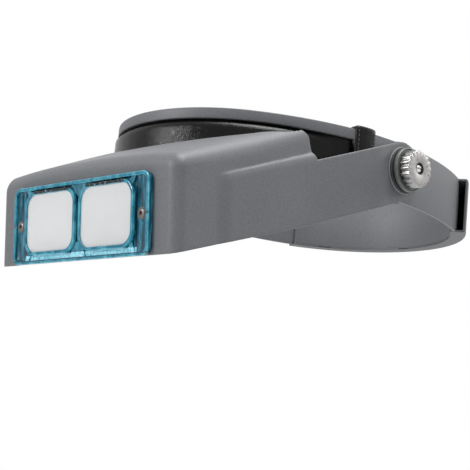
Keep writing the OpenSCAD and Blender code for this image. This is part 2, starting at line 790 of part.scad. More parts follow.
module frame_screws() {
    head_y = screw_seat_y - screw_washer_t;
    color(nickel) at_rest() on_frame()
        for (side = [-1, 1])
            difference() {
                union() {
                    frame_hole(side * screw_x, screw_head_r, head_y - screw_head_t, head_y);
                    frame_hole(side * screw_x, screw_r, head_y - eps,
                        frame_proud + face_t + screw_nut_t + 0.8);
                }
                translate([side * screw_x, head_y - screw_head_t, 0]) {
                    cube([2.6, 1, 0.5], center = true);
                    cube([0.5, 1, 2.6], center = true);
                }
            }
}

module frame_screw_washers() {
    color(dark_grey) at_rest() on_frame()
        for (side = [-1, 1])
            difference() {
                frame_hole(side * screw_x, screw_washer_r, screw_seat_y - screw_washer_t, screw_seat_y);
                frame_hole(side * screw_x, screw_r + screw_fit, -1, screw_seat_y + 1);
            }
}

module frame_screw_nuts() {
    y0 = frame_proud + face_t + 0.1;
    color(nickel) at_rest() on_frame()
        for (side = [-1, 1])
            difference() {
                translate([side * screw_x, y0 + screw_nut_t, 0])
                    rotate([90, 0, 0])
                        cylinder(r = screw_nut_r, h = screw_nut_t, $fn = 6);
                frame_hole(side * screw_x, screw_r + 0.05, y0 - 1, y0 + screw_nut_t + 1);
            }
}

// Turns a profile round the nape centre from mouth to mouth
module round_nape(a0, a1) {
    translate([0, nape_cy, 0])
        rotate([0, 0, a0])
            rotate_extrude(angle = a1 - a0, $fn = 180)
                children();
}

// Box at an angle round the back, from radius r0 outwards
module nape_block(a, r0, r1, w, h, z = 0) {
    translate([0, nape_cy, 0])
        rotate([0, 0, a])
            translate([r0, -w / 2, z - h / 2])
                cube([r1 - r0, w, h]);
}

// Outer half of the sleeve: back wall with top and bottom walls
module rear_housing() {
    s = sleeve_round;
    h = sleeve_h / 2;
    color(grey) difference() {
        round_nape(mouth_a, 180 - mouth_a)
            difference() {
                polygon(concat([[sleeve_in_r, -h]],
                    arc_points(sleeve_out_r - s, s - h, s, -90, 0, 5),
                    arc_points(sleeve_out_r - s, h - s, s, 0, 90, 5),
                    [[sleeve_in_r, h]]));
                translate([sleeve_in_r - 1, -chamber_h / 2])
                    square([chamber_r - sleeve_in_r + 1, chamber_h]);
            }
        nape_block(90, chamber_r - 1, sleeve_out_r + 1, button_w + 2 * button_fit,
            button_h + 2 * button_fit);
        for (a = [45, 90, 135], z = [-1, 1])
            nape_block(a, sleeve_in_r - 1, sleeve_in_r + 1, snap_w + 0.4, 2 * snap_h + 0.4,
                z * chamber_h / 2);
    }
}

// Inner wall of the sleeve, with snap tabs in the slots of the outer half
module rear_housing_cover() {
    color(grey) {
        round_nape(mouth_a + 0.2, 180 - mouth_a - 0.2)
            translate([sleeve_in_r, cover_fit - chamber_h / 2])
                square([sleeve_wall, chamber_h - 2 * cover_fit]);
        for (a = [45, 90, 135], z = [-1, 1])
            nape_block(a, sleeve_in_r + 0.15, sleeve_in_r + 0.85, snap_w, 2 * snap_h - 0.3,
                z * (chamber_h / 2 - cover_fit));
    }
}

// Push button through the back wall, with a flange that keeps it in
module release_button() {
    color(dark_grey) {
        intersection() {
            nape_block(90, button_in_r, button_out_r + 1, button_w, button_h);
            round_nape(60, 120)
                translate([button_in_r, -button_h])
                    square([button_out_r - button_in_r, 2 * button_h]);
        }
        intersection() {
            nape_block(90, button_in_r - 2, chamber_r + 1, flange_w, flange_h);
            round_nape(60, 120)
                translate([button_in_r, -flange_h])
                    square([flange_t, 2 * flange_h]);
        }
    }
}

// Return spring between the button and the inner wall of the sleeve
module button_spring() {
    r = spring_r - spring_wire / 2;
    y0 = cover_out_r + spring_wire / 2 + stack_gap;
    y1 = button_in_r - spring_wire / 2 - stack_gap;
    steps = 12;
    n = spring_turns * steps;
    sides = 6;
    points = [for (i = [0:n], j = [0:sides - 1])
        let (a = 360 * i / steps, b = 360 * j / sides, q = r + spring_wire / 2 * cos(b))
        [q * cos(a), y0 + (y1 - y0) * i / n + spring_wire / 2 * sin(b), q * sin(a)]];
    color(nickel) translate([0, nape_cy, 0])
        polyhedron(points, concat([[for (j = [sides - 1:-1:0]) j]],
            [for (i = [0:n - 1], j = [0:sides - 1])
                let (a = i * sides + j, b = i * sides + (j + 1) % sides)
                each [[a, b, a + sides], [b, b + sides, a + sides]]],
            [[for (j = [0:sides - 1]) n * sides + j]]));
}

// Sprung lock leaf beside the button, whose ends press on the grooved strap tips
module lock_leaf() {
    leaf_r = chamber_r - 0.1;
    pad_r = nape_r + pad_gap;
    color(nickel) difference() {
        union() {
            round_nape(90 - leaf_a, 90 + leaf_a)
                translate([leaf_r - leaf_t, -leaf_h / 2])
                    square([leaf_t, leaf_h]);
            for (a = [90 - leaf_a, 90 + leaf_a - pad_w_a])
                round_nape(a, a + pad_w_a)
                    translate([pad_r, -leaf_h / 2])
                        square([leaf_r - pad_r, leaf_h]);
        }
        nape_block(90, button_in_r - 3, chamber_r + 1, flange_w + 1, flange_h + 0.6);
    }
}

headband();
rear_strap("left");  // rear_strap_left
rear_strap("right");  // rear_strap_right
sweatband();
sweatband_loop("left");  // sweatband_loop_left
sweatband_loop("right");  // sweatband_loop_right
pivot_bolt("left");  // pivot_bolt_left
pivot_bolt("right");  // pivot_bolt_right
friction_washer("left");  // friction_washer_left
friction_washer("right");  // friction_washer_right
visor_shell();
pivot_disc("left");  // pivot_disc_left
pivot_disc("right");  // pivot_disc_right
rubber_ring("left");  // rubber_ring_left
rubber_ring("right");  // rubber_ring_right
cup_washer("left");  // cup_washer_left
cup_washer("right");  // cup_washer_right
thumb_nut("left");  // thumb_nut_left
thumb_nut("right");  // thumb_nut_right
lens_frame();
lens("left");  // lens_left
lens("right");  // lens_right
frame_screws();
frame_screw_washers();
frame_screw_nuts();
rear_housing();
rear_housing_cover();
release_button();
button_spring();
lock_leaf();
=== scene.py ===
"""Looks of the headband magnifier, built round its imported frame. Lengths are in millimetres
until a mesh is made; +Z is square to the band, the wearer faces -Y and +X is their left."""
from math import acos, asin, atan, cos, degrees, pi, radians, sin, sqrt, tan

import bmesh
import bpy
from mathutils import Matrix, Vector


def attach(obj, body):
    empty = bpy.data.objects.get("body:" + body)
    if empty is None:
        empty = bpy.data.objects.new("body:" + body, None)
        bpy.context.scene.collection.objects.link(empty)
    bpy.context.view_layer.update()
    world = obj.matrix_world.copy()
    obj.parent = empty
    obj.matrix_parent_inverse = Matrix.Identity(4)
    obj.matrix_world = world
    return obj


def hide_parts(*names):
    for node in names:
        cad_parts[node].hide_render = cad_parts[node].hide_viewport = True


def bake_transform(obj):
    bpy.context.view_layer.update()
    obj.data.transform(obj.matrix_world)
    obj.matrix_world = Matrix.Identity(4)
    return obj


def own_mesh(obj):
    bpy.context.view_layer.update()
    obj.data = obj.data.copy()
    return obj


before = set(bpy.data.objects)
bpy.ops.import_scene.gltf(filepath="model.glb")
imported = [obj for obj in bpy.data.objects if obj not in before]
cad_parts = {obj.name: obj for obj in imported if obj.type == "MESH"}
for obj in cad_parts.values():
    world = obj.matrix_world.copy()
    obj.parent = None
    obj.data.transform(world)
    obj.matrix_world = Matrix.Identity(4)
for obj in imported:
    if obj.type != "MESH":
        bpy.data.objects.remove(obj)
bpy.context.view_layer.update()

MM = 0.001

# Band
BAND_HALF_W = 79.3
FOREHEAD_R = 66.0
TEMPLE_FRONT_R = 125.0
TEMPLE_REAR_R = 190.0
NAPE_R = 71.0
BAND_T = 2.0
BAND_H = 30.6
BAND_EDGE_R = 0.55
STRIP_H = 5.6
SHOULDER_FRONT_Y = -31.0
SHOULDER_REAR_Y = -16.0
TONGUE_H = 28.0
STRAP_TIP_A = 77.0

# Sweatband
LEATHER_T = 2.4
LEATHER_H = 31.6
LEATHER_GAP = 0.3
PAD_SWELL = 3.4
LOOP_T = 1.2
LOOP_W = 12.4
LOOP_Y = 25.0

# Pivots
BOLT_R = 2.0
BOLT_FIT = 0.08
BOLT_HEAD_R = 6.5
BOLT_HEAD_T = 1.6
FRICTION_T = 1.4
FRICTION_R = 15.4
DISC_R = 12.3
DISC_T = 0.9
RING_R = 11.2
RING_T = 0.8
RING_SWELL = 0.8
CUP_R = 11.5
CUP_T = 3.0
NUT_R = 9.65
NUT_T = 6.0
NUT_FLUTES = 18
FLUTE_DEPTH = 0.7
STACK_GAP = 0.05

# Visor
VISOR_DROP = 9.7
WALL = 2.2
HOOD_FRONT_W = 67.0
HOOD_REACH = 144.0
HOOD_REAR = 62.0
HOOD_INSET = 6.2
HOOD_FRONT_Z = 3.6
HOOD_RISE = 0.25
BROW_CUT = 46.0
ARM_R = 15.0
ARM_SLOPE = 12.5
ARM_STEP = 2.2
ARM_BEND = 3.0
PANEL_STEP = 1.4
PANEL_REACH = 50.0
PANEL_BEND = 8.0
PANEL_FADE = 9.0
ARM_LAP = 0.03
MOULD_GRID = 0.45
LEDGE_H = 4.2
LEDGE_TOP = 3.8
REAR_ROUND = 8.0
REAR_TOP_Y = -60.4
REAR_LOW_Y = -57.6
FRONT_EDGE_R = 4.6
FRONT_SIDE_R = 5.8
FACE_T = 2.4

# Lens frame
FRAME_W = 103.4
FRAME_H = 38.6
FRAME_PROUD = 3.0
FRAME_LEAN = 3.3
FRAME_DROP = 24.5
FRAME_GAP = 0.02
FRAME_CORNER = 4.5
RIM_T = 1.7
FLOOR_T = 1.3
WINDOW_W = 37.0
WINDOW_H = 28.6
WINDOW_RISE = 0.8
WINDOW_CORNER = 6.5
WEB_W = 6.0
LENS_LEDGE = 1.0
LENS_FIT = 0.12
LENS_EDGE_T = 2.0
LENS_CROWN = 0.9
COLLAR_T = 1.6
COLLAR_Y = -0.6
SPIGOT_T = 2.9
SCREW_X = 46.2
SCREW_R = 1.25
SCREW_FIT = 0.15
SCREW_HEAD_R = 2.1

# Rear sleeve
SLEEVE_GAP = 4.0
STRAP_FIT = 0.4
TONGUE_FIT = 0.3
SLEEVE_WALL = 1.2
MOUTH_A = 28.0
SHOULDER_GAP_A = 0.25
BUTTON_W = 15.0
BUTTON_H = 10.0
BUTTON_TRAVEL = 1.5

# Worked out from these
FRONT_A = degrees(acos((TEMPLE_FRONT_R - BAND_HALF_W) / (TEMPLE_FRONT_R - FOREHEAD_R)))
REAR_A = degrees(acos((TEMPLE_REAR_R - BAND_HALF_W) / (TEMPLE_REAR_R - NAPE_R)))
FOREHEAD_CY = -(TEMPLE_FRONT_R - FOREHEAD_R) * sin(radians(FRONT_A))
NAPE_CY = (TEMPLE_REAR_R - NAPE_R) * sin(radians(REAR_A))
FRONT_CX = BAND_HALF_W - TEMPLE_FRONT_R
REAR_CX = BAND_HALF_W - TEMPLE_REAR_R
LOOP_TURN = asin(LOOP_Y / TEMPLE_FRONT_R)
BOLT_NECK_W = 2 * BOLT_R + 0.4
ARM_IN_X = BAND_HALF_W + FRICTION_T + 2 * STACK_GAP
ARM_OUT_X = ARM_IN_X + WALL
DISC_OUT_X = ARM_OUT_X + DISC_T
RING_OUT_X = DISC_OUT_X + RING_T
CUP_OUT_X = RING_OUT_X + CUP_T
NUT_IN_X = CUP_OUT_X + STACK_GAP
NUT_OUT_X = NUT_IN_X + NUT_T
HOOD_DEPTH = HOOD_REACH - HOOD_REAR
HOOD_REAR_W = BAND_HALF_W - HOOD_INSET
HOOD_FLARE = (HOOD_REAR_W - HOOD_FRONT_W) / HOOD_DEPTH
ARM_RISE = tan(radians(ARM_SLOPE))
ARM_TANGENT_Y = ARM_R * sin(radians(ARM_SLOPE))
ARM_TANGENT_Z = ARM_R * cos(radians(ARM_SLOPE))
ARM_FLAT = FRICTION_R + ARM_BEND + 0.2
ARM_SLANT = (ARM_OUT_X - HOOD_REAR_W - ARM_STEP) / (HOOD_REAR - ARM_FLAT)
PANEL_SLANT = HOOD_FLARE + (ARM_STEP - PANEL_STEP) / PANEL_REACH
PANEL_FRONT = HOOD_REAR + PANEL_REACH
RIM_FRONT_Y = -HOOD_REACH - (FRAME_PROUD + FRAME_GAP) / cos(radians(FRAME_LEAN))
FRAME_BOTTOM_Z = -FRAME_DROP - FRAME_H / 2 * cos(radians(FRAME_LEAN))
SEAT_Y = COLLAR_Y + 0.8
FLOOR_Y = FRAME_PROUD - FLOOR_T
LENS_X = (WEB_W + WINDOW_W) / 2
LENS_W = WINDOW_W + 2 * LENS_LEDGE
LENS_H = WINDOW_H + 2 * LENS_LEDGE
SPIGOT_W = 2 * LENS_X + LENS_W + 2 * LENS_FIT + 2
SPIGOT_H = LENS_H + 2 * LENS_FIT + 2.4
STRAP_IN_R = NAPE_R - BAND_T
COVER_OUT_R = STRAP_IN_R - STRAP_FIT
SLEEVE_IN_R = COVER_OUT_R - SLEEVE_WALL
CHAMBER_R = NAPE_R + SLEEVE_GAP
SLEEVE_OUT_R = CHAMBER_R + SLEEVE_WALL
CHAMBER_H = TONGUE_H + 2 * TONGUE_FIT
SLEEVE_H = CHAMBER_H + 2 * SLEEVE_WALL
SIDES = (("left", 1), ("right", -1))
UP = Vector((0, 0, 1))
CORNERS = ((-1, -1), (1, -1), (1, 1), (-1, 1))


def add_object(name, data):
    obj = bpy.data.objects.new(name, data)
    bpy.context.scene.collection.objects.link(obj)
    return obj


def mesh_piece(name, points, faces):
    """A mesh object from points in millimetres."""
    mesh = bpy.data.meshes.new(name)
    mesh.from_pydata([[MM * c for c in p] for p in points], [], faces)
    mesh.update()
    return add_object(name, mesh)


def modify(obj, kind, **settings):
    """Adds a modifier with its settings and applies it."""
    modifier = obj.modifiers.new(kind, kind)
    for name, value in settings.items():
        setattr(modifier, name, value)
    bpy.context.view_layer.update()
    evaluated = obj.evaluated_get(bpy.context.evaluated_depsgraph_get())
    mesh = bpy.data.meshes.new_from_object(evaluated)
    obj.modifiers.clear()
    old = obj.data
    obj.data = mesh
    bpy.data.meshes.remove(old)
    return obj


def combine(obj, other, operation):
    """Boolean of obj with other, which is used up."""
    modify(obj, "BOOLEAN", operation=operation, solver="EXACT", object=other)
    mesh = other.data
    bpy.data.objects.remove(other)
    bpy.data.meshes.remove(mesh)
    return obj


def cut(obj, other):
    return combine(obj, other, "DIFFERENCE")


def join(obj, other):
    return combine(obj, other, "UNION")


def bevelled(obj, width, segments):
    return modify(obj, "BEVEL", width=width * MM, segments=segments, limit_method="ANGLE",
                  angle_limit=radians(50))


def skin(name, groups, closed=False):
    """One mesh over groups of rings, each capped unless its rings close on themselves."""
    points = []
    faces = []
    for rings in groups:
        base = len(points)
        count = len(rings[0])
        points += [p for ring in rings for p in ring]
        for j in range(len(rings) if closed else len(rings) - 1):
            a = base + j * count
            b = base + (j + 1) % len(rings) * count
            faces += [(a + i, a + (i + 1) % count, b + (i + 1) % count, b + i) for i in range(count)]
        if not closed:
            faces += [range(base + count - 1, base - 1, -1), range(len(points) - count, len(points))]
    obj = mesh_piece(name, points, faces)
    bm = bmesh.new()
    bm.from_mesh(obj.data)
    bmesh.ops.recalc_face_normals(bm, faces=bm.faces)
    bm.to_mesh(obj.data)
    bm.free()
    return obj


def loft(name, rings, closed=False):
    return skin(name, [rings], closed)


def arc(cx, cy, r, start, end, steps):
    """Points round a centre, angles in degrees."""
    angles = [radians(start + (end - start) * i / steps) for i in range(steps + 1)]
    return [(cx + r * cos(a), cy + r * sin(a)) for a in angles]


def block(x0, x1, half):
    """Corners of a rectangle between two places, as far to either side."""
    return [(x0, -half), (x1, -half), (x1, half), (x0, half)]


def rounded(w, h, r, steps=8):
    """Outline of a rectangle with round corners."""
    x = w / 2 - r
    z = h / 2 - r
    return (arc(x, z, r, 0, 90, steps) + arc(-x, z, r, 90, 180, steps)
            + arc(-x, -z, r, 180, 270, steps) + arc(x, -z, r, 270, 360, steps))


def circle(r, steps, shape=None):
    """Points of a ring; shape may give the radius at an angle."""
    points = []
    for i in range(steps):
        a = 2 * pi * i / steps
        q = shape(r, a) if shape else r
        points.append((q * cos(a), q * sin(a)))
    return points


def turned(name, profile, side, steps=96, shape=None, closed=True):
    """A solid turned about the pivot axis from (x, radius) points."""
    rings = [[(side * x, y, z) for y, z in circle(r, steps, shape)] for x, r in profile]
    return loft(name, rings, closed)


def pivot_box(name, x0, x1, d, h):
    """A box on the pivot axis."""
    return loft(name, [[(x, y, z) for x, y in block(x0, x1, d / 2)] for z in (-h / 2, h / 2)])


def tilt(points, angle):
    """Points turned about the X axis."""
    c = cos(radians(angle))
    s = sin(radians(angle))
    return [(x, y * c - z * s, y * s + z * c) for x, y, z in points]


def at_rest(points):
    return tilt(points, VISOR_DROP)


def on_frame(points):
    """From the lens frame's own axes to the row's."""
    leaned = tilt(points, -FRAME_LEAN)
    return at_rest([(x, y + RIM_FRONT_Y, z - FRAME_DROP) for x, y, z in leaned])


# Materials


class Nodes:
    """A node tree; a method adds a node and gives back its output."""

    def __init__(self, tree):
        self.tree = tree

    def feed(self, socket, value):
        """Links a socket to an output, or sets its plain value."""
        if isinstance(value, bpy.types.NodeSocket):
            self.tree.links.new(value, socket)
        else:
            socket.default_value = value

    def node(self, kind, **inputs):
        return self.fill(self.tree.nodes.new("ShaderNode" + kind), inputs)

    def fill(self, node, inputs):
        for name, value in inputs.items():
            self.feed(node.inputs[name.replace("_", " ")], value)
        return node

    def maths(self, operation, *values):
        made = self.node("Math")
        made.operation = operation
        for socket, value in zip(made.inputs, values):
            self.feed(socket, value)
        return made.outputs["Value"]

    def product(self, first, *others):
        for value in others:
            first = self.maths("MULTIPLY", first, value)
        return first

    def near(self, value, middle, reach):
        """1 where the value lies within reach of the middle, 0 elsewhere."""
        return self.maths("COMPARE", value, middle, reach)

    def away(self, first, second):
        """Distance from the origin of two coordinates."""
        squares = [self.maths("MULTIPLY", value, value) for value in (first, second)]
        return self.maths("SQRT", self.maths("ADD", *squares))


class Surface(Nodes):
    """A material whose nodes paint by the place on the object."""

    def __init__(self, name):
        self.material = bpy.data.materials.new(name)
        self.material.use_nodes = True
        super().__init__(self.material.node_tree)
        self.place = self.node("TexCoord").outputs["Object"]

    def coordinates(self):
        parts = self.node("SeparateXYZ", Vector=self.place).outputs
        return parts["X"], parts["Y"], parts["Z"]

    def go_to_frame(self):
        """From here on the place is in millimetres along the lens frame's own axes."""
        origin = tilt([(0, RIM_FRONT_Y, -FRAME_DROP)], FRAME_LEAN)[0]
        turn = radians(FRAME_LEAN - VISOR_DROP)
        self.place = self.node("Mapping", Vector=self.place, Location=[-c for c in origin],
                               Rotation=(turn, 0, 0), Scale=(1 / MM,) * 3).outputs["Vector"]

    def noise(self, scale, detail=3.0, roughness=0.5, place=None):
        return self.node("TexNoise", Vector=place or self.place, Scale=scale, Detail=detail,
                         Roughness=roughness).outputs["Fac"]

    def ramp(self, value, *stops):
        """Colour ramp from (place, colour) pairs."""
        made = self.node("ValToRGB", Fac=value)
        elements = made.color_ramp.elements
        while len(elements) < len(stops):
            elements.new(0.5)
        for element, (place, colour) in zip(elements, stops):
            element.position = place
            element.color = (*colour, 1)
        return made.outputs["Color"]

    def remap(self, value, low, high, start=0, end=1):
        return self.node("MapRange", Value=value, From_Min=start, From_Max=end, To_Min=low,
                         To_Max=high).outputs["Result"]

    def bump(self, height, strength, distance, under=None):
        made = self.node("Bump", Height=height, Strength=strength, Distance=distance)
        if under is not None:
            self.feed(made.inputs["Normal"], under)
        return made.outputs["Normal"]

    def mixed(self, share, first, second):
        """Colour that goes from first to second as the share goes from 0 to 1."""
        made = self.node("Mix")
        made.data_type = "RGBA"
        for index, value in ((0, share), (6, first), (7, second)):
            self.feed(made.inputs[index], (*value, 1) if isinstance(value, tuple) else value)
        return made.outputs[2]

    def finish(self, **inputs):
        self.fill(self.tree.nodes["Principled BSDF"], inputs)
        return self.material


def scaled(colour, share):
    return tuple(c * share for c in colour)


def moulded_plastic(name, colour, rough, grain=0.35):
    """Matt moulded plastic with a spark-eroded texture and faint flow marks."""
    s = Surface(name)
    fine = s.noise(2600, 2, 0.6)
    tone = s.ramp(s.noise(35, 4), (0.3, scaled(colour, 0.94)), (0.7, scaled(colour, 1.05)))
    specks = s.remap(s.noise(1100, 2, 0.7), 0, 0.24, 0.35, 0.75)
    soft = s.bump(s.noise(1100, 3, 0.55), grain, 0.0002)
    return s.finish(Base_Color=s.mixed(specks, tone, scaled(colour, 2.2)),
                    Roughness=s.remap(fine, rough - 0.08, rough + 0.08, 0.3, 0.7),
                    Normal=s.bump(fine, grain * 0.6, 0.00006, soft), IOR=1.5, Specular_IOR_Level=0.35)


def leather():
    """Black grained leather: cells with creases, fine pores and a slight sheen."""
    s = Surface("leather")
    cells = s.node("TexVoronoi", Vector=s.place, Scale=950)
    cells.feature = "DISTANCE_TO_EDGE"
    crease = s.remap(cells.outputs["Distance"], 0, 1, 0, 0.22)
    pores = s.noise(3200, 2, 0.6)
    grained = s.bump(crease, 0.4, 0.0001, s.bump(s.noise(160, 4, 0.55), 0.25, 0.0006))
    # Painted shade: the colour is darker down the creases of the grain
    tone = s.ramp(crease, (0, (0.0015, 0.0013, 0.0012)), (0.8, (0.005, 0.0043, 0.004)))
    return s.finish(Base_Color=tone, Roughness=s.remap(pores, 0.17, 0.29, 0.3, 0.7),
                    Normal=s.bump(pores, 0.25, 0.00005, grained), Specular_IOR_Level=0.14)


def thread():
    s = Surface("thread")
    strands = s.noise(4200, 2)
    return s.finish(Base_Color=s.ramp(strands, (0.3, (0.012,) * 3), (0.7, (0.045, 0.044, 0.043))),
                    Normal=s.bump(strands, 0.5, 0.0001), Roughness=0.7)


def rubber():
    s = Surface("rubber")
    bloom = s.ramp(s.noise(300, 4), (0.3, (0.01,) * 3), (0.75, (0.026, 0.026, 0.027)))
    return s.finish(Base_Color=bloom, Normal=s.bump(s.noise(1800, 2), 0.3, 0.00008), Roughness=0.65)


def turned_metal(name, colour, rough, speck=0.22, core=0):
    """Plated metal with the fine rings that turning leaves round the pivot axis; a dark core
    is the shaded countersink, with its radius in millimetres."""
    s = Surface(name)
    rings = s.node("TexWave", Vector=s.place, Scale=900, Distortion=1.5)
    rings.wave_type = "RINGS"
    rings.rings_direction = "X"
    cloud = s.noise(420, 4, 0.6)
    tone = s.ramp(cloud, (0.3, scaled(colour, 0.86)), (0.7, scaled(colour, 1.05)))
    if core:
        inside = s.remap(s.away(*s.coordinates()[1:]), 1, 0, (core - 0.3) * MM, (core + 0.3) * MM)
        tone = s.mixed(inside, tone, scaled(colour, 0.08))
    specks = s.bump(s.noise(1500, 3, 0.7), speck, 0.00008)
    return s.finish(Base_Color=tone, Roughness=s.remap(cloud, rough - 0.06, rough + 0.1, 0.3, 0.7),
                    Normal=s.bump(rings.outputs["Fac"], 0.1, 0.00003, specks), Metallic=1)


def clear_blue():
    """Blue clear plastic with painted light and shade: painted light along its rounded edges, deep
    painted shade on the floor where it lies on the hood, a pale band of painted light along the sill,
    and nearly black painted shade with a few painted glints over each window."""
    s = Surface("clear_blue")
    s.go_to_frame()
    x, depth, z = s.coordinates()
    across = s.maths("ABSOLUTE", x)
    stretched = s.node("Mapping", Vector=s.place, Scale=(1, 1, 0.12)).outputs["Vector"]
    streaks = s.noise(0.55, 4, 0.6, stretched)
    drops = s.noise(0.8, 3, 0.7)
    deep = s.ramp(streaks, (0.36, (0.002, 0.024, 0.042)), (0.5, (0.006, 0.07, 0.112)),
                  (0.66, (0.04, 0.22, 0.3)))
    bright = s.ramp(s.noise(0.16), (0.34, (0.014, 0.165, 0.25)),
                    (0.5, (0.04, 0.33, 0.45)), (0.68, (0.16, 0.54, 0.66)))
    # Painted light: collars and rim are painted lightest along their rounded edges, a little behind their
    # faces, and the floor is painted deep
    layers = ((-0.57, 0.35), (-0.52, 0.9), (-0.2, 0.75), (-0.04, 0.4), (0.05, 0.4), (0.1, 1),
              (0.4, 0.8), (1.1, 0))
    low, high = -0.7, 1.7
    lit = s.ramp(s.remap(depth, 0, 1, low, high),
                 *[((d - low) / (high - low), (v,) * 3) for d, v in layers])
    tone = s.mixed(lit, deep, bright)
    # A line of painted shade follows each window's foot of the collar at left and right
    foot_x = LENS_X + WINDOW_W / 2 + COLLAR_T
    foot = s.product(s.remap(depth, 0, 1, 0.2, 1.1), s.near(across, foot_x + 0.7, 0.6), 0.8)
    tone = s.mixed(foot, tone, (0.001, 0.012, 0.022))
    # Painted light: a pale band along the sill below the windows
    sill_z = (-FRAME_H / 2 + RIM_T - WINDOW_H / 2 + WINDOW_RISE - COLLAR_T) / 2
    sill = s.product(s.near(z, sill_z, 1.25), s.near(across, 0, 42.5),
                     s.remap(depth, 0, 1, -0.4, 0.2))
    pale = s.ramp(drops, (0.36, (0.07, 0.33, 0.43)), (0.45, (0.23, 0.56, 0.68)),
                  (0.66, (0.42, 0.72, 0.8)))
    tone = s.mixed(sill, tone, pale)
    # Painted shade: a dark line just below the sill
    crease = s.product(s.near(z, sill_z - 1.5, 0.25), 0.85)
    tone = s.mixed(crease, tone, (0.002, 0.014, 0.022))
    # Painted shade over each window, nearly black, with a few painted glints where the drops run high
    head_z = WINDOW_RISE + WINDOW_H / 2 + 1.25
    shade_over = s.product(s.near(z, head_z, 1.1), s.near(across, LENS_X - 1, WINDOW_W / 2 - 4.2))
    dark = s.ramp(drops, (0.52, (0.002, 0.004, 0.006)), (0.6, (0.01, 0.07, 0.1)),
                  (0.68, (0.5, 0.62, 0.66)))
    tone = s.mixed(shade_over, tone, dark)
    # Painted shade: a dark line down the middle of the web, where no slot is cut
    slot = s.product(s.near(z, 1, 9.5), s.near(across, 0, 0.75), 0.8)
    tone = s.mixed(slot, tone, (0.002, 0.014, 0.024))
    return s.finish(Base_Color=tone, Roughness=s.remap(streaks, 0.05, 0.16),
                    Normal=s.bump(drops, 0.35, 0.0003), Transmission_Weight=0.2, IOR=1.49,
                    Specular_IOR_Level=0.3)


def dull_screw():
    """Flat screw head of dull metal with painted shade in its recess and round the edge of its head."""
    s = Surface("dull_screw")
    s.go_to_frame()
    x, _, z = s.coordinates()
    aside = s.maths("SUBTRACT", s.maths("ABSOLUTE", x), SCREW_X)
    # Painted shade: darkest in the recess at the middle, and darker again round the edge of the head
    tone = s.ramp(s.maths("DIVIDE", s.away(aside, z), 3.0), (0, (0.02, 0.006, 0.005)),
                  (0.24, (0.045, 0.02, 0.016)), (0.34, (0.11, 0.1, 0.095)),
                  (0.64, (0.16, 0.15, 0.145)), (0.72, (0.08, 0.075, 0.07)))
    worn = s.noise(1.6, 3)
    return s.finish(Base_Color=s.mixed(s.remap(worn, 0, 0.35, 0.35, 0.75), tone, (0.1, 0.09, 0.085)),
                    Roughness=s.remap(worn, 0.4, 0.55), Normal=s.bump(worn, 0.2, 0.0002), Metallic=1)


def lens_glass():
    """Pale glass, as the photograph shows the lenses: light and even, with a clear gloss; the pale colour
    is painted light for the white that shows through them.
    """
    s = Surface("lens_glass")
    haze = s.noise(40, 3)
    return s.finish(Base_Color=s.ramp(haze, (0.3, (0.53, 0.533, 0.535)), (0.7, (0.56, 0.563, 0.565))),
                    Roughness=s.remap(haze, 0.03, 0.06), Transmission_Weight=0.25, IOR=1.52)


GREY = (0.075, 0.078, 0.083)
DARK_GREY = (0.063, 0.067, 0.066)
MATERIALS = {
    "grey_plastic": moulded_plastic("grey_plastic", GREY, 0.52),
    "dark_plastic": moulded_plastic("dark_plastic", DARK_GREY, 0.42, 0.2),
    # A darker copy of the grey plastic for the sleeve: painted shade
    "shaded_sleeve_plastic": moulded_plastic("shaded_sleeve_plastic", scaled(GREY, 0.72), 0.52),
    # A paler copy of the grey plastic for the pivot discs: painted light, seen as a highlight round each
    # disc's edge
    "painted_highlight_plastic": moulded_plastic("painted_highlight_plastic", scaled(GREY, 1.9), 0.45, 0.2),
    "leather": leather(),
    "thread": thread(),
    "rubber": rubber(),
    "steel": turned_metal("steel", (0.44, 0.44, 0.43), 0.34),
    "dull_screw": dull_screw(),
    "nickel": turned_metal("nickel", (0.27, 0.265, 0.26), 0.3, 0.06, 3.2),
    "clear_blue": clear_blue(),
    "lens_glass": lens_glass(),
}


def paint(obj, material):
    obj.data.materials.clear()
    obj.data.materials.append(MATERIALS[material])


def finish_piece(obj, sharp_angle, material, body, *replaced):
    """Gives a piece smooth shading with edges past the angle kept sharp, its material and slot,
    its body if it rides on one, and hides the nodes it stands for."""
    bm = bmesh.new()
    bm.from_mesh(obj.data)
    limit = radians(sharp_angle)
    for face in bm.faces:
        face.smooth = True
    for edge in bm.edges:
        edge.smooth = len(edge.link_faces) != 2 or edge.calc_face_angle(0) < limit
    bm.to_mesh(obj.data)
    bm.free()
    paint(obj, material)
    if body:
        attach(obj, body)
    if replaced:
        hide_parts(*replaced)


# Camera, as the photograph was taken: fitted angles are in the visor's own axes

CAMERA_AZIMUTH = 44.929
CAMERA_ELEVATION = -3.604
CAMERA_ROLL = -1.525
CAMERA_PLACE = (473.434, -495.714, -156.843)
CAMERA_LENS = 95.94
CAMERA_SENSOR = 36.0

# Lamps as (name, place in metres, size, watts)
LAMPS = (("key", (-0.44, -1.32, 0.40), 0.36, 14), ("top", (0.40, -0.10, 1.50), 0.90, 50),
         ("side", (1.35, -0.75, 0.20), 0.80, 1.2), ("back", (0.75, 1.35, 0.85), 0.60, 9))
LAMP_TARGET = (0.0, -0.03, -0.01)
AMBIENT = 0.34
AMBIENT_TINT = (0.94, 0.97, 1.0, 1.0)
FLOOR_Z = -360.0
FLOOR_HALF = 4000.0


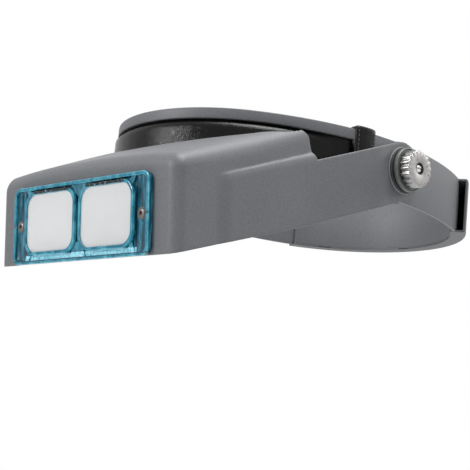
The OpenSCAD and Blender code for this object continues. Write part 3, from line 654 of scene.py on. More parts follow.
def make_camera():
    data = bpy.data.cameras.new("camera")
    data.lens = CAMERA_LENS
    data.sensor_width = CAMERA_SENSOR
    data.clip_start = 0.01
    camera = add_object("camera", data)
    place = Matrix.Translation(Vector(CAMERA_PLACE) * MM)
    for angle, axis in ((VISOR_DROP, "X"), (CAMERA_AZIMUTH, "Z"), (90 - CAMERA_ELEVATION, "X"),
                        (CAMERA_ROLL, "Z")):
        place = place @ Matrix.Rotation(radians(angle), 4, axis)
    camera.matrix_world = place
    bpy.context.scene.camera = camera


def area_light(name, place, size, power):
    data = bpy.data.lights.new(name, "AREA")
    data.shape = "SQUARE"
    data.size = size
    data.energy = power
    lamp = add_object(name, data)
    lamp.location = place
    lamp.rotation_euler = (Vector(LAMP_TARGET) - lamp.location).to_track_quat("-Z", "Y").to_euler()


def make_studio():
    """Plain world, white only where camera, gloss and glass look past the object; floor, lamps."""
    bpy.context.scene.view_settings.view_transform = "Standard"
    world = bpy.data.worlds.new("studio")
    bpy.context.scene.world = world
    world.use_nodes = True
    sky = Nodes(world.node_tree)
    ambient = sky.fill(sky.tree.nodes["Background"], {"Color": AMBIENT_TINT, "Strength": AMBIENT})
    white = sky.node("Background", Color=(1, 1, 1, 1))
    path = sky.node("LightPath").outputs
    seen = sky.maths("MAXIMUM", path["Is Camera Ray"], path["Is Glossy Ray"])
    mix = sky.node("MixShader", Fac=sky.maths("MAXIMUM", seen, path["Is Transmission Ray"]))
    sky.feed(mix.inputs[1], ambient.outputs["Background"])
    sky.feed(mix.inputs[2], white.outputs["Background"])
    sky.feed(sky.tree.nodes["World Output"].inputs["Surface"], mix.outputs["Shader"])

    floor = mesh_piece("floor", [(FLOOR_HALF * u, FLOOR_HALF * v, FLOOR_Z) for u, v in CORNERS],
                       [(0, 1, 2, 3)])
    s = Surface("floor")
    tone = s.ramp(s.noise(2), (0, (0.86,) * 3), (1, (0.88,) * 3))
    floor.data.materials.append(s.finish(Base_Color=tone, Roughness=0.9))
    for lamp in LAMPS:
        area_light(*lamp)


# Band


def arc_stops(cx, cy, r, start, end, steps, first=1):
    """Stops of the oval as (centre x, centre y, radius, angle)."""
    return [(cx, cy, r, start + (end - start) * i / steps) for i in range(first, steps + 1)]


def stop_point(stop, depth, z, side=1):
    cx, cy, r, a = stop
    a = radians(a)
    return (side * (cx + (r - depth) * cos(a)), cy + (r - depth) * sin(a), z)


def mirrored(stops):
    return [(-cx, cy, r, 180 - a) for cx, cy, r, a in reversed(stops[:-1])]


def strip_low(y):
    """Lower edge of the band at a distance along Y: high over the forehead, full at the temples."""
    high = BAND_H / 2 - STRIP_H
    share = (y - SHOULDER_FRONT_Y) / (SHOULDER_REAR_Y - SHOULDER_FRONT_Y)
    if share <= 0:
        return high
    t = acos(max(-1.0, 1 - 2 * min(1.0, share))) / pi
    return max(-BAND_H / 2, high - (high + BAND_H / 2 + 1) * t)


def strip_section(low, high):
    """Section of a strip of the band as (depth, z), with rounded edges."""
    points = rounded(BAND_T, high - low, BAND_EDGE_R, 4)
    return [(BAND_T / 2 - x, (low + high) / 2 + z) for x, z in points]


def make_band():
    seam_a = 3.0
    front = (arc_stops(REAR_CX, 0, TEMPLE_REAR_R, seam_a, 0, 6, 0)
             + arc_stops(FRONT_CX, 0, TEMPLE_FRONT_R, 0, -FRONT_A, 72)
             + arc_stops(0, FOREHEAD_CY, FOREHEAD_R, -FRONT_A, -90, 40))
    front = front + mirrored(front)
    rings = []
    for stop in front:
        section = strip_section(strip_low(stop_point(stop, 0, 0)[1]), BAND_H / 2)
        rings.append([stop_point(stop, d, z) for d, z in section])
    finish_piece(loft("band", rings), 50, "grey_plastic", "headband", "headband")

    shoulder_a = MOUTH_A - SHOULDER_GAP_A
    tongue = arc_stops(0, NAPE_CY, NAPE_R, STRAP_TIP_A, shoulder_a, 60, 0)
    wide = (arc_stops(0, NAPE_CY, NAPE_R, shoulder_a, REAR_A, 8, 0)
            + arc_stops(REAR_CX, 0, TEMPLE_REAR_R, REAR_A, seam_a, 60))
    groove_pitch_a = 2.4
    grooves = 8
    for name, side in SIDES:
        rings = []
        for half, stops in ((TONGUE_H / 2, tongue), (BAND_H / 2, wide)):
            section = strip_section(-half, half)
            rings += [[stop_point(stop, d, z, side) for d, z in section] for stop in stops]
        strap = loft("band_rear_" + name, rings)
        for i in range(1, grooves + 1):
            a = STRAP_TIP_A - i * groove_pitch_a
            cut(strap, nape_box("groove", a, NAPE_R - 0.4, NAPE_R + 0.4, 1.0, TONGUE_H - 8, side))
        finish_piece(strap, 50, "grey_plastic", None, "rear_strap_" + name)
        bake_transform(strap)


# Sweatband


def leather_stops():
    """Stops along the sweatband, from the loop on one side to the loop on the other."""
    tail_a = degrees(LOOP_TURN - LOOP_W / 2 / TEMPLE_FRONT_R) - 0.8
    half = (arc_stops(FRONT_CX, 0, TEMPLE_FRONT_R, -tail_a, -FRONT_A, 60, 0)
            + arc_stops(0, FOREHEAD_CY, FOREHEAD_R, -FRONT_A, -90, 60))
    return half + mirrored(half)


def leather_bulge(y, z):
    """Outward swell of the padding where no band holds it back."""
    free = min(1.0, max(0.0, (-y - 42) / 24))
    under = BAND_H / 2 - STRIP_H - 0.8
    if z > under:
        return 0.0
    share = (under - z) / (under + LEATHER_H / 2)
    lip = 1 - max(0.0, 1 - share / 0.09) ** 2
    foot = 1 - max(0.0, (share - 0.55) / 0.45) ** 2
    return PAD_SWELL * free * lip * foot


def make_sweatband():
    inset = BAND_T + LEATHER_GAP
    hem = 2.4
    h = LEATHER_H / 2
    count = 22
    half_t = 0.42 * LEATHER_T
    stops = leather_stops()
    rings = []
    for stop in stops:
        y = stop_point(stop, 0, 0)[1]
        outer = []
        inner = []
        for i in range(count + 1):
            z = h * sin(pi / 2 * (2 * i / count - 1))
            roll = sqrt(max(0.0, 1 - (abs(z) / h) ** 8))
            padded = sqrt(max(0.0, 1 - min(1.0, abs(z) / (h - hem)) ** 3))
            outer.append((inset + half_t - half_t * roll - leather_bulge(y, z) * roll, z))
            inner.append((inset + half_t + (0.16 + 0.42 * padded) * LEATHER_T * roll, z))
        rings.append([stop_point(stop, d, z) for d, z in outer + inner[-2:0:-1]])
    pad = loft("sweatband_pad", rings)
    finish_piece(pad, 70, "leather", "headband", "sweatband")
    make_hem_stitches(stops, inset, h, hem)


def bead(centre, along, out, length, radius, steps=8):
    """Rings of one stitch, a short bead that dips at its ends."""
    up = along.cross(out).normalized()
    rings = []
    for i in range(steps + 1):
        t = i / steps
        r = radius * sin(pi * (0.08 + 0.84 * t)) ** 0.5
        middle = centre + along * (length * (t - 0.5)) - out * (radius * (2 * t - 1) ** 2)
        rings.append([tuple(middle + up * c + out * s) for c, s in circle(r, 6)])
    return rings


def make_hem_stitches(stops, inset, h, hem):
    """Two rows of thread along the inner face of the sweatband."""
    pitch = 2.6
    length = 1.9
    groups = []
    path = [Vector(stop_point(s, inset + 0.6 * LEATHER_T, 0)) for s in stops]
    travelled = 0.0
    for a, b in zip(path, path[1:]):
        travelled += (b - a).length
        if travelled < pitch:
            continue
        travelled -= pitch
        along = (b - a).normalized()
        out = UP.cross(along).normalized()
        if out.dot(Vector((0, FOREHEAD_CY, 0)) - a) < 0:
            out = -out
        for z in (h - hem + 0.2, hem - h - 0.2):
            groups.append(bead(a + UP * z + out * 0.12, along, out, length, 0.22))
    finish_piece(skin("sweatband_stitches", groups), 60, "thread", "headband")


def loop_stop(t):
    """Stop at a share of the loop's width, from -1 to 1."""
    return (FRONT_CX, 0, TEMPLE_FRONT_R, degrees(LOOP_W / 2 / TEMPLE_FRONT_R * t - LOOP_TURN))


def loop_ring(t, thick, side):
    """Outline round band and sweatband, a thickness outside them."""
    deep = BAND_T + 3 * LEATHER_GAP + LEATHER_T + 2 * thick
    mid_d = (BAND_T + LEATHER_GAP + LEATHER_T) / 2
    section = rounded(deep, LEATHER_H + 2 * (LEATHER_GAP + thick), thick + 0.5, 6)
    return [stop_point(loop_stop(t), mid_d - x, z, side) for x, z in section]


def make_loops():
    """Leather loops sewn round band and sweatband, with turned edges."""
    thin = 0.35
    steps = 18
    shares = [2 * i / steps - 1 for i in range(steps + 1)]
    grown = [(t, thin + (LOOP_T - thin) * sqrt(1 - t ** 10) + 0.28 * (1 - t * t)) for t in shares]
    for name, side in SIDES:
        rings = [loop_ring(t, thick, side) for t, thick in grown + [(t, 0) for t in reversed(shares)]]
        loop = loft("sweatband_loop_cover_" + name, rings, closed=True)
        finish_piece(loop, 50, "leather", "headband", "sweatband_loop_" + name)
        groups = []
        for edge in (-0.78, 0.78):
            stop = loop_stop(edge)
            out = Vector(stop_point(stop, -1, 0, side)) - Vector(stop_point(stop, 0, 0, side))
            for k in range(-6, 7):
                centre = Vector(stop_point(stop, -LEATHER_GAP - LOOP_T - 0.14, k * 2.4, side))
                groups.append(bead(centre, UP, out.normalized(), 1.8, 0.2))
        finish_piece(skin("loop_stitches_" + name, groups), 60, "thread", "headband")


# Pivots


def chamfered(x0, x1, r, bore, e=0.25):
    """Profile of a ring with rounded outer edges and a bore."""
    return ([(x0, bore)] + arc(x0 + e, r - e, e, 180, 90, 3) + arc(x1 - e, r - e, e, 90, 0, 3)
            + [(x1, bore)])


def cup_profile(bore):
    """Thick washer: rounded rim, and a face that dips towards the nut."""
    x0, x1 = RING_OUT_X, CUP_OUT_X
    r = CUP_R
    rim = 0.75
    dip = 0.35
    return ([(x0, bore), (x0, r - 1.6), (x0 + 1.2, r)] + arc(x1 - rim, r - rim, rim, 90, 0, 6)
            + [(x1 - dip, r - rim - dip), (x1 - dip, NUT_R - 2.2), (x1, NUT_R - 2.6), (x1, bore)])


def flute_shape(r, a):
    """Radius of the fluted nut at an angle, for a ring whose plain radius is r."""
    wave = 0.5 + 0.5 * cos(NUT_FLUTES * a)
    return r - FLUTE_DEPTH * wave ** 1.3 if r > NUT_R - 2 else r


def nut_profile(bore):
    """Nut with a flat face, sunk a little round the bolt."""
    x0, x1 = NUT_IN_X, NUT_OUT_X
    r = NUT_R
    face = 0.25
    dimple = BOLT_R + 0.5
    return [(x0, bore), (x0, r - 0.95), (x0 + 0.25, r - 0.45), (x0 + 0.75, r), (x1 - 0.5, r),
            (x1 - 0.28, r - 0.08), (x1 - 0.12, r - 0.22), (x1 - 0.03, r - 0.4), (x1, r - 0.6),
            (x1 - face * 0.3, dimple + 2.2), (x1 - face, dimple + 0.35),
            (x1 - face - 0.25, dimple), (x1 - 1.1, dimple - 0.1), (x1 - 1.1, bore)]


def make_pivots():
    bore = BOLT_R + BOLT_FIT
    neck = BOLT_NECK_W * 0.75
    washer_x = BAND_HALF_W + STACK_GAP
    ring_x = DISC_OUT_X - 0.3
    stack = (("friction_washer", "rubber", "headband",
              chamfered(washer_x, washer_x + FRICTION_T, FRICTION_R, neck)),
             ("pivot_disc", "painted_highlight_plastic", "visor", chamfered(ARM_OUT_X, ring_x, DISC_R, bore)),
             ("rubber_ring", "rubber", "visor", chamfered(ring_x, RING_OUT_X, RING_R + RING_SWELL, bore)),
             ("cup_washer", "dark_plastic", "visor", cup_profile(bore)))
    for name, side in SIDES:
        for node, material, body, profile in stack:
            piece = turned(node + "_turned_" + name, profile, side)
            finish_piece(piece, 40, material, body, node + "_" + name)
        nut = turned("thumb_nut_fluted_" + name, nut_profile(bore), side, NUT_FLUTES * 16, flute_shape)
        finish_piece(nut, 28, "nickel", "nut_" + name, "thumb_nut_" + name)
        make_bolt(name, side)


def make_bolt(name, side):
    """Bolt with a low domed head, a square neck and a slotted end."""
    head_x = BAND_HALF_W - BAND_T - STACK_GAP
    end_x = NUT_OUT_X - 0.4
    thread_pitch = 0.8
    profile = [(head_x - BOLT_HEAD_T, 0.02)]
    profile += [(head_x - BOLT_HEAD_T * c, BOLT_HEAD_R * s) for c, s in arc(0, 0, 1, 0, 90, 12)[1:]]
    profile += [(head_x, BOLT_HEAD_R - 0.15), (head_x, BOLT_R)]
    x = CUP_OUT_X + 0.4
    while x < end_x - 0.9:
        profile += [(x, BOLT_R), (x + thread_pitch / 2, BOLT_R - 0.22)]
        x += thread_pitch
    profile += [(end_x - 0.5, BOLT_R - 0.02), (end_x, BOLT_R - 0.55), (end_x, 0.02)]
    bolt = turned("pivot_bolt_turned_" + name, profile, side, 64, closed=False)
    cut(bolt, pivot_box("slot", side * (end_x - 0.7), side * (end_x + 0.7), 3 * BOLT_R, 0.9))
    neck = pivot_box("neck", side * head_x, side * (head_x + BAND_T), BOLT_NECK_W, BOLT_NECK_W)
    finish_piece(join(bolt, neck), 40, "steel", "headband", "pivot_bolt_" + name)


def nape_box(name, angle, r0, r1, w, h, side=1, z=0.0):
    """A box at an angle round the back of the head."""
    a = radians(angle)
    plan = [(side * (r * cos(a) - s * sin(a)), NAPE_CY + r * sin(a) + s * cos(a))
            for r, s in block(r0, r1, w / 2)]
    return loft(name, [[(x, y, z + up) for x, y in plan] for up in (-h / 2, h / 2)])


# Visor


def smooth_step(t):
    t = min(1.0, max(0.0, t))
    return t * t * (3 - 2 * t)


def past_bend(d, bend, reach):
    """Length beyond a bend that is rounded over a reach to either side."""
    return max(0.0, d - bend) + max(0.0, reach - abs(d - bend)) ** 2 / (4 * reach)


def arm_x(d):
    """Outer face of the arm at the distance d ahead of the pivot."""
    return (ARM_OUT_X - ARM_SLANT * past_bend(d, ARM_FLAT, ARM_BEND)
            + (ARM_SLANT - PANEL_SLANT) * past_bend(d, HOOD_REAR, PANEL_BEND))


def arm_top(d):
    return ARM_TANGENT_Z - ARM_RISE * (d - ARM_TANGENT_Y)


def edge_pull(t, radius):
    """How far a rounded edge draws in at the distance t behind the face."""
    return radius - sqrt(radius ** 2 - (radius - t) ** 2) if t < radius else 0.0


def hood_outline(y, inset, low, panel, edge_r, side_r, front):
    """Hood seen from the front at a distance y behind its face, from right foot to left foot."""
    share = min(1.0, y / HOOD_DEPTH)
    swell = sin(pi * share)
    above = inset + edge_pull(y - front, edge_r)
    w = HOOD_FRONT_W + HOOD_FLARE * y - inset - edge_pull(y - front, side_r)
    centre = HOOD_FRONT_Z + HOOD_RISE * y + 0.6 * swell - above
    crown = 3.5 + 2 * y / HOOD_DEPTH
    r = max(1.0, 6.6 + 0.8 * share + 3.6 * swell - above)
    u = w - r
    shoulder = centre - crown * (u / w) ** 2.5
    a = degrees(atan(2.5 * crown / w * (u / w) ** 1.5))
    cx = u - r * sin(radians(a))
    cz = shoulder - r * cos(radians(a))
    corner = arc(cx, cz, r, 0, 90 - a, 12)
    reach = corner[0][0]
    corner = [(x * w / reach, z) for x, z in corner]
    side_steps = 100
    half = [(w, low + (corner[0][1] - low) * i / side_steps) for i in range(side_steps)] + corner
    if panel and y > front + side_r:
        half = [(x + panel_step(HOOD_REACH - y, z) * smooth_step((x - w + 4) / 3), z) for x, z in half]
    top_steps = 30
    top_xs = [half[-1][0] * (1 - i / top_steps) for i in range(1, top_steps + 1)]
    half += [(x, centre - crown * (x / w) ** 2.5) for x in top_xs]
    return half + [(-x, z) for x, z in reversed(half[:-1])]


def panel_step(d, z):
    """How far the arm's panel stands out from the hood side."""
    down = min(1.0, max(0.0, (arm_top(d) + LEDGE_TOP - z) / LEDGE_H))
    below = sqrt(1 - (1 - down) ** 2)
    ahead = smooth_step((PANEL_FRONT + PANEL_FADE - d) / PANEL_FADE)
    step = arm_x(min(d, PANEL_FRONT)) - HOOD_FRONT_W - HOOD_FLARE * (HOOD_REACH - min(d, PANEL_FRONT))
    return (step - ARM_LAP) * below * ahead


def hood_solid(name, inset, front, back, low, edge_r, side_r, panel=False):
    curve = 14
    ys = [front + side_r * (1 - cos(pi / 2 * i / curve)) for i in range(curve + 1)]
    steps = 56
    ys += [front + side_r + (back - front - side_r) * i / steps for i in range(1, steps + 1)]
    rings = []
    for y in ys:
        lean = tan(radians(FRAME_LEAN)) * (1 - y / back)
        outline = hood_outline(y, inset, low, panel, edge_r, side_r, front)
        rings.append(at_rest([(x, y - HOOD_REACH + lean * (z + FRAME_DROP), z) for x, z in outline]))
    return loft(name, rings)


def side_prism(name, outline, x0, x1):
    """A solid from an outline in side view, as (y, z) of the visor, between two places in x."""
    return loft(name, [at_rest([(x, y, z) for y, z in outline]) for x in (x0, x1)])


def plan_prism(name, plan, reach):
    """A solid from an outline in plan view, as (x, y) of the visor, reaching up and down."""
    return loft(name, [at_rest([(x, y, z) for x, y in plan]) for z in (-reach, reach)])


def lower_edge_prism():
    """What lies above the lower edge, which has a knee where the arm meets the hood."""
    beyond = 20
    knee = -HOOD_REAR - WALL
    knee_z = ARM_RISE * (knee - ARM_TANGENT_Y) - ARM_TANGENT_Z
    front = -HOOD_REACH - beyond
    front_z = FRAME_BOTTOM_Z - (knee_z - FRAME_BOTTOM_Z) * beyond / (HOOD_REACH + knee)
    outline = [(ARM_TANGENT_Y, -ARM_TANGENT_Z), (ARM_R + 5, -ARM_TANGENT_Z), (ARM_R + 5, 60),
               (front, 60), (front, front_z), (knee, knee_z)]
    return side_prism("above_edge", outline, -160, 160)


def brow_prism():
    """What lies behind the hood's rear edge, curved in plan to clear the forehead."""
    half = HOOD_REAR_W - WALL - 0.4
    plan = [(half * c, -HOOD_REAR - BROW_CUT * s) for c, s in arc(0, 0, 1, 0, 180, 64)]
    return plan_prism("brow", plan + [(-half, 20), (half, 20)], 110)


def corner_prism():
    """What lies behind the hood: its rear edge slants back from a round corner to the arm."""
    side_z = HOOD_FRONT_Z + HOOD_RISE * HOOD_DEPTH - 5.2
    cy = REAR_TOP_Y - REAR_ROUND
    cz = side_z - REAR_ROUND
    foot_z = arm_top(HOOD_REAR) - 1.5
    outline = [(-HOOD_REAR, -80), (-HOOD_REAR, foot_z), (REAR_LOW_Y, foot_z)]
    outline += arc(cy, cz, REAR_ROUND, 0, 90, 20)
    outline += [(cy, side_z + 12), (20, side_z + 12), (20, -80)]
    return side_prism("corner", outline, -160, 160)


def arm_piece(side):
    """A bent plate with a round end, and a fillet where it leaves the hood."""
    far = 90.0
    outline = arc(0, 0, ARM_R, ARM_SLOPE - 90, ARM_SLOPE + 90, 60)
    outline += [(-far, arm_top(far)), (-far, -ARM_TANGENT_Z - ARM_RISE * (far + ARM_TANGENT_Y))]
    d_bend = HOOD_REAR - PANEL_BEND
    d_end = HOOD_REAR + WALL + 1.5
    distances = [-ARM_R - 3] + [ARM_FLAT + ARM_BEND * (i / 8 - 1) for i in range(17)]
    distances += [d_bend + (d_end - d_bend) * i / 8 for i in range(9)]
    plan = [(arm_x(d), -d) for d in distances] + [(arm_x(d) - WALL, -d) for d in reversed(distances)]
    plate = plan_prism("arm", [(side * x, y) for x, y in plan], 70)
    return combine(plate, side_prism("arm_side", outline, 60 * side, 95 * side), "INTERSECT")


def frame_prism(name, outline, y0, y1):
    """A solid from an outline seen square to the lens frame, between two depths."""
    return loft(name, [on_frame([(x, y, z) for x, z in outline]) for y in (y0, y1)])


def frame_turned(name, x, profile, steps=40, shape=None, closed=False):
    """A solid turned about the lens frame's depth axis at x, from (depth, radius) points."""
    rings = [on_frame([(x + u, y, z) for u, z in circle(r, steps, shape)]) for y, r in profile]
    return loft(name, rings, closed)


def make_visor():
    low = FRAME_BOTTOM_Z - 12
    shell = hood_solid("visor_moulding", 0, 0, HOOD_DEPTH + 6, low, FRONT_EDGE_R, FRONT_SIDE_R,
                       panel=True)
    cut(shell, hood_solid("inside", WALL, FACE_T, HOOD_DEPTH + 30, low - 30, FRONT_EDGE_R - 1,
                          FRONT_SIDE_R - 1.5))
    cut(shell, brow_prism())
    cut(shell, corner_prism())
    combine(shell, lower_edge_prism(), "INTERSECT")
    for side in (1, -1):
        join(shell, arm_piece(side))
    opening = raised(rounded(SPIGOT_W + 0.6, SPIGOT_H + 0.6, 4))
    cut(shell, frame_prism("opening", opening, -2, FRAME_PROUD + FACE_T + 8))
    bolt_way = BOLT_R + BOLT_FIT
    bore = [(ARM_IN_X - 2, 0.01), (ARM_IN_X - 2, bolt_way), (ARM_OUT_X + 2, bolt_way),
            (ARM_OUT_X + 2, 0.01)]
    for side in (1, -1):
        cut(shell, screw_way(side, 0, FRAME_PROUD + FACE_T + 5))
        cut(shell, turned("bore", bore, side, 48))
    # An even grid that is relaxed rounds the edges as a mould does
    modify(shell, "REMESH", mode="VOXEL", voxel_size=MOULD_GRID * MM)
    modify(shell, "SMOOTH", factor=0.5, iterations=3)
    finish_piece(shell, 80, "grey_plastic", "visor", "visor_shell")


# Lens frame


def frame_sweep(name, w, h, r, profile, rise=0.0, steps=10):
    """A closed section, as (offset outwards, depth), swept round a rounded rectangle."""
    rings = [on_frame([(x, y, z + rise) for x, z in rounded(w + 2 * o, h + 2 * o, r + o, steps)])
             for o, y in profile]
    return loft(name, rings, closed=True)


def raised(outline):
    """An outline moved up to the middle of the windows."""
    return [(x, z + WINDOW_RISE) for x, z in outline]


def shifted(obj, x):
    """Moves a frame piece sideways before it is joined to others."""
    obj.data.transform(Matrix.Translation((x * MM, 0, 0)))
    return obj


def screw_way(side, y0, y1):
    r = SCREW_R + SCREW_FIT
    return frame_turned("screw_way", side * SCREW_X, [(y0, r), (y1, r)], 32)


def make_tray():
    """Floor with a rim round its edge and a spigot behind, and a well for each lens."""
    e = 0.45
    lip = 0.35
    w = FRAME_W - 2 * RIM_T
    h = FRAME_H - 2 * RIM_T
    r = FRAME_CORNER - RIM_T
    rim = [(0.0, FRAME_PROUD), (RIM_T - 0.1, FRAME_PROUD), (RIM_T, FRAME_PROUD - 0.15)]
    rim += arc(RIM_T - e, e, e, 0, -90, 4) + arc(lip, lip, lip, -90, -180, 3)
    rim += [(-0.25, FLOOR_Y - 0.25), (-0.6, FLOOR_Y), (-0.6, FRAME_PROUD)]
    tray = frame_sweep("lens_tray", w, h, r, rim)
    floor = rounded(w + 0.4, h + 0.4, r + 0.2)
    join(tray, frame_prism("floor", floor, FLOOR_Y, FRAME_PROUD))
    spigot = raised(rounded(SPIGOT_W, SPIGOT_H, 3.5))
    join(tray, frame_prism("spigot", spigot, FRAME_PROUD - 0.2, FRAME_PROUD + SPIGOT_T))
    wide = LENS_LEDGE + LENS_FIT + 0.4
    well = raised(rounded(WINDOW_W + 2 * wide, WINDOW_H + 2 * wide, WINDOW_CORNER + wide))
    for side in (1, -1):
        room = frame_prism("well", well, COLLAR_Y - 1, FRAME_PROUD + SPIGOT_T + 1)
        cut(tray, shifted(room, side * LENS_X))
    return tray


def add_collar(tray, side):
    """Raised edge of a window, with the ledge that the lens rests on."""
    room = LENS_LEDGE + LENS_FIT
    back = FRAME_PROUD - 0.45
    outer = COLLAR_T + 0.2
    collar = [(0.0, SEAT_Y), (0.0, COLLAR_Y + 0.35), (0.1, COLLAR_Y + 0.1), (0.35, COLLAR_Y),
              (COLLAR_T - 0.45, COLLAR_Y), (COLLAR_T - 0.12, COLLAR_Y + 0.12),
              (COLLAR_T, COLLAR_Y + 0.45), (outer, FLOOR_Y + 0.1), (outer, back), (room, back),
              (room, SEAT_Y)]
    ring = frame_sweep("collar", WINDOW_W, WINDOW_H, WINDOW_CORNER, collar, WINDOW_RISE)
    join(tray, shifted(ring, side * LENS_X))


def add_ribs(tray, up):
    """Gusset over or under the web, and a stay at each outer corner of the windows."""
    rim_z = FRAME_H / 2 - RIM_T + 0.2
    edge_z = WINDOW_H / 2 + up * WINDOW_RISE
    corner_x = LENS_X + WINDOW_W / 2
    gusset = [(WEB_W / 2 + 3, rim_z), (WEB_W / 2 + 1.2, edge_z + 0.4), (1.3, edge_z - 3.2)]
    ribs = [gusset + [(-x, z) for x, z in reversed(gusset)]]
    for side in (-1, 1):
        stay = [(corner_x - 3.2, edge_z + 0.6), (corner_x - 0.5, rim_z), (corner_x + 2.0, rim_z),
                (corner_x - 0.3, edge_z - 1.6)]
        ribs.append([(side * x, z) for x, z in stay])
    for rib in ribs:
        outline = [(x, up * z) for x, z in rib]
        join(tray, frame_prism("rib", outline, FLOOR_Y - 0.8, FRAME_PROUD - 0.3))


def make_lens_frame():
    tray = make_tray()
    for side in (1, -1):
        add_collar(tray, side)
    for up in (-1, 1):
        add_ribs(tray, up)
    for side in (1, -1):
        boss = frame_prism("boss", rounded(6.6, 7.6, 1.6), FLOOR_Y - 0.3, FRAME_PROUD - 0.2)
        join(tray, shifted(boss, side * SCREW_X))
        cut(tray, screw_way(side, -1, FRAME_PROUD + 1))
        notch = [(side * FRAME_W / 2 + 1.5 * RIM_T * u, 0.6 * v) for u, v in CORNERS]
        cut(tray, frame_prism("notch", notch, -0.8, 0.8))
    bevelled(tray, 0.14, 2)
    finish_piece(tray, 38, "clear_blue", "visor", "lens_frame")


def make_lenses():
    """Lenses with a flat edge on the ledge and a crowned face in front and behind."""
    front_y = SEAT_Y + STACK_GAP
    back_y = front_y + LENS_EDGE_T
    crown_share = 1 - 2.6 / LENS_W
    crown = [(max(0.004, crown_share * s), LENS_CROWN * c ** 2) for c, s in arc(0, 0, 1, 0, 90, 12)]
    sections = ([(k, front_y - rise) for k, rise in crown] + [(1.0, front_y), (1.0, back_y)]
                + [(k, back_y + rise) for k, rise in reversed(crown)])
    outline = rounded(LENS_W, LENS_H, WINDOW_CORNER + LENS_LEDGE - 0.1)
    for name, side in SIDES:
        rings = [on_frame([(side * LENS_X + k * x, y, WINDOW_RISE + k * z) for x, z in outline])
                 for k, y in sections]
        finish_piece(loft("lens_ground_" + name, rings), 30, "lens_glass", "visor", "lens_" + name)


def six_sided(r, a):
    """Radius of the hexagonal nut at an angle; its bore stays round."""
    sixth = radians(60)
    return r if r < 2 else r * cos(sixth / 2) / cos(a % sixth - sixth / 2)


def fixing_pair(name, profile, **shape):
    return [frame_turned(name, side * SCREW_X, profile, **shape) for side in (1, -1)]


def make_frame_fixings():
    """Screws with low heads and cross recesses, washers and nuts."""
    seat = FLOOR_Y - 0.3
    head = seat - 0.4
    end = FRAME_PROUD + FACE_T + 2.6
    nut_y = FRAME_PROUD + FACE_T + 0.1
    washer_bore = SCREW_R + SCREW_FIT
    nut_bore = SCREW_R + 0.05
    screw = [(head - 0.55, 0.02), (head - 0.54, 1.2), (head - 0.45, 1.75), (head - 0.2, SCREW_HEAD_R),
             (head, SCREW_HEAD_R - 0.05), (head, SCREW_R), (end - 0.2, SCREW_R),
             (end, SCREW_R - 0.3), (end, 0.02)]
    washer = [(head, washer_bore), (head, 2.85), (seat - 0.2, 3.0), (seat, 2.9), (seat, washer_bore)]
    nut = [(nut_y, nut_bore), (nut_y, 2.4), (nut_y + 0.2, 2.6), (nut_y + 1.6, 2.6),
           (nut_y + 1.8, 2.4), (nut_y + 1.8, nut_bore)]
    screws = fixing_pair("tray_screws", screw)
    for obj, side in zip(screws, (1, -1)):
        for w, h in ((2.0, 0.5), (0.5, 2.0)):
            recess = frame_prism("recess", rounded(w, h, 0.1, 2), head - 2, head - 0.2)
            cut(obj, shifted(recess, side * SCREW_X))
    washers = fixing_pair("tray_washers", washer, closed=True)
    nuts = fixing_pair("tray_nuts", nut, steps=36, shape=six_sided, closed=True)
    finish_piece(join(*screws), 35, "dull_screw", "visor", "frame_screws")
    finish_piece(join(*washers), 35, "dark_plastic", "visor", "frame_screw_washers")
    finish_piece(join(*nuts), 35, "steel", "visor", "frame_screw_nuts")


# Sleeve


def nape_sweep(name, section, start, end, steps=72):
    """A section, as (radius, z), swept round the back of the head."""
    return loft(name, [[(r * c, NAPE_CY + r * s, z) for r, z in section]
                       for c, s in arc(0, 0, 1, start, end, steps)])


def rounded_outside(inner, outer, h, e, steps):
    """Section as (radius, z) that is 2 h high, with round outer edges."""
    return ([(inner, -h)] + arc(outer - e, e - h, e, -90, 0, steps)
            + arc(outer - e, h - e, e, 0, 90, steps) + [(inner, h)])


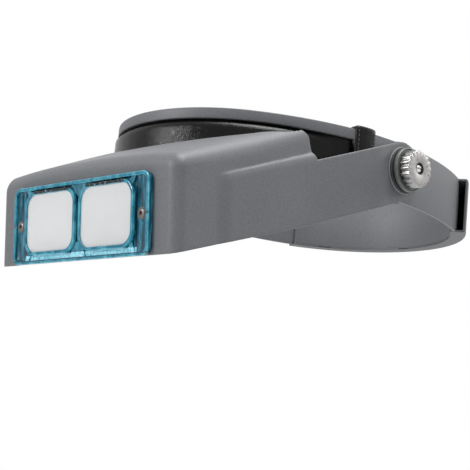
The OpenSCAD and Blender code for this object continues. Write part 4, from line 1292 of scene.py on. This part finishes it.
def make_sleeve():
    """Sleeve with a window for the button, and its inner wall held by snap tabs."""
    c = CHAMBER_H / 2
    section = rounded_outside(SLEEVE_IN_R, SLEEVE_OUT_R, SLEEVE_H / 2, 1.3, 6)
    section += [(SLEEVE_IN_R, c), (CHAMBER_R, c), (CHAMBER_R, -c), (SLEEVE_IN_R, -c)]
    shell = nape_sweep("sleeve_moulding", section, MOUTH_A, 180 - MOUTH_A)
    cut(shell, nape_box("window", 90, CHAMBER_R - 1, SLEEVE_OUT_R + 2, BUTTON_W + 0.4, BUTTON_H + 0.4))
    fit = 0.1
    lining = block(SLEEVE_IN_R, COVER_OUT_R, c - fit)
    cover = nape_sweep("sleeve_lining", lining, MOUTH_A + 0.2, 179.8 - MOUTH_A)
    for a in (45, 90, 135):
        for up in (-1, 1):
            cut(shell, nape_box("snap", a, SLEEVE_IN_R - 1, SLEEVE_IN_R + 1, 7.4, 1.8, z=up * c))
            join(cover, nape_box("tab", a, SLEEVE_IN_R + 0.15, SLEEVE_IN_R + 0.85, 7, 1.1,
                                 z=up * (c - fit)))
    bevelled(shell, 0.35, 3)
    finish_piece(shell, 40, "shaded_sleeve_plastic", "sleeve", "rear_housing")
    bevelled(cover, 0.2, 2)
    finish_piece(cover, 40, "grey_plastic", "sleeve", "rear_housing_cover")


def make_button():
    """Push button with grip ribs on its face and a flange behind the wall."""
    flange_t = 1.2
    inner = CHAMBER_R - 0.05 - flange_t
    outer = SLEEVE_OUT_R + BUTTON_TRAVEL + 0.1
    half_a = degrees(BUTTON_W / 2 / SLEEVE_OUT_R)
    h = BUTTON_H / 2
    section = rounded_outside(inner, outer, h, 0.5, 4)
    body = nape_sweep("button_cap", section, 90 - half_a, 90 + half_a, 24)
    flange_a = degrees((BUTTON_W + 4) / 2 / CHAMBER_R)
    flange = block(inner, inner + flange_t, h + 2)
    join(body, nape_sweep("flange", flange, 90 - flange_a, 90 + flange_a, 24))
    ribs = 5
    for i in range(ribs):
        a = 90 + (i - (ribs - 1) / 2) * 1.9
        cut(body, nape_box("rib", a, outer - 0.35, outer + 1, 1.1, BUTTON_H - 3))
    bevelled(body, 0.18, 2)
    finish_piece(body, 40, "dark_plastic", "button", "release_button")


def dress_inner_nodes():
    """The lock leaf and the spring keep their own shapes and get the steel finish. The spring
    stands on the inner wall and gets a mesh of its own."""
    for node in ("lock_leaf", "button_spring"):
        paint(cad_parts[node], "steel")
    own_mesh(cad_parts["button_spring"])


make_camera()
make_studio()
make_band()
make_sweatband()
make_loops()
make_pivots()
make_visor()
make_lens_frame()
make_lenses()
make_frame_fixings()
make_sleeve()
make_button()
dress_inner_nodes()
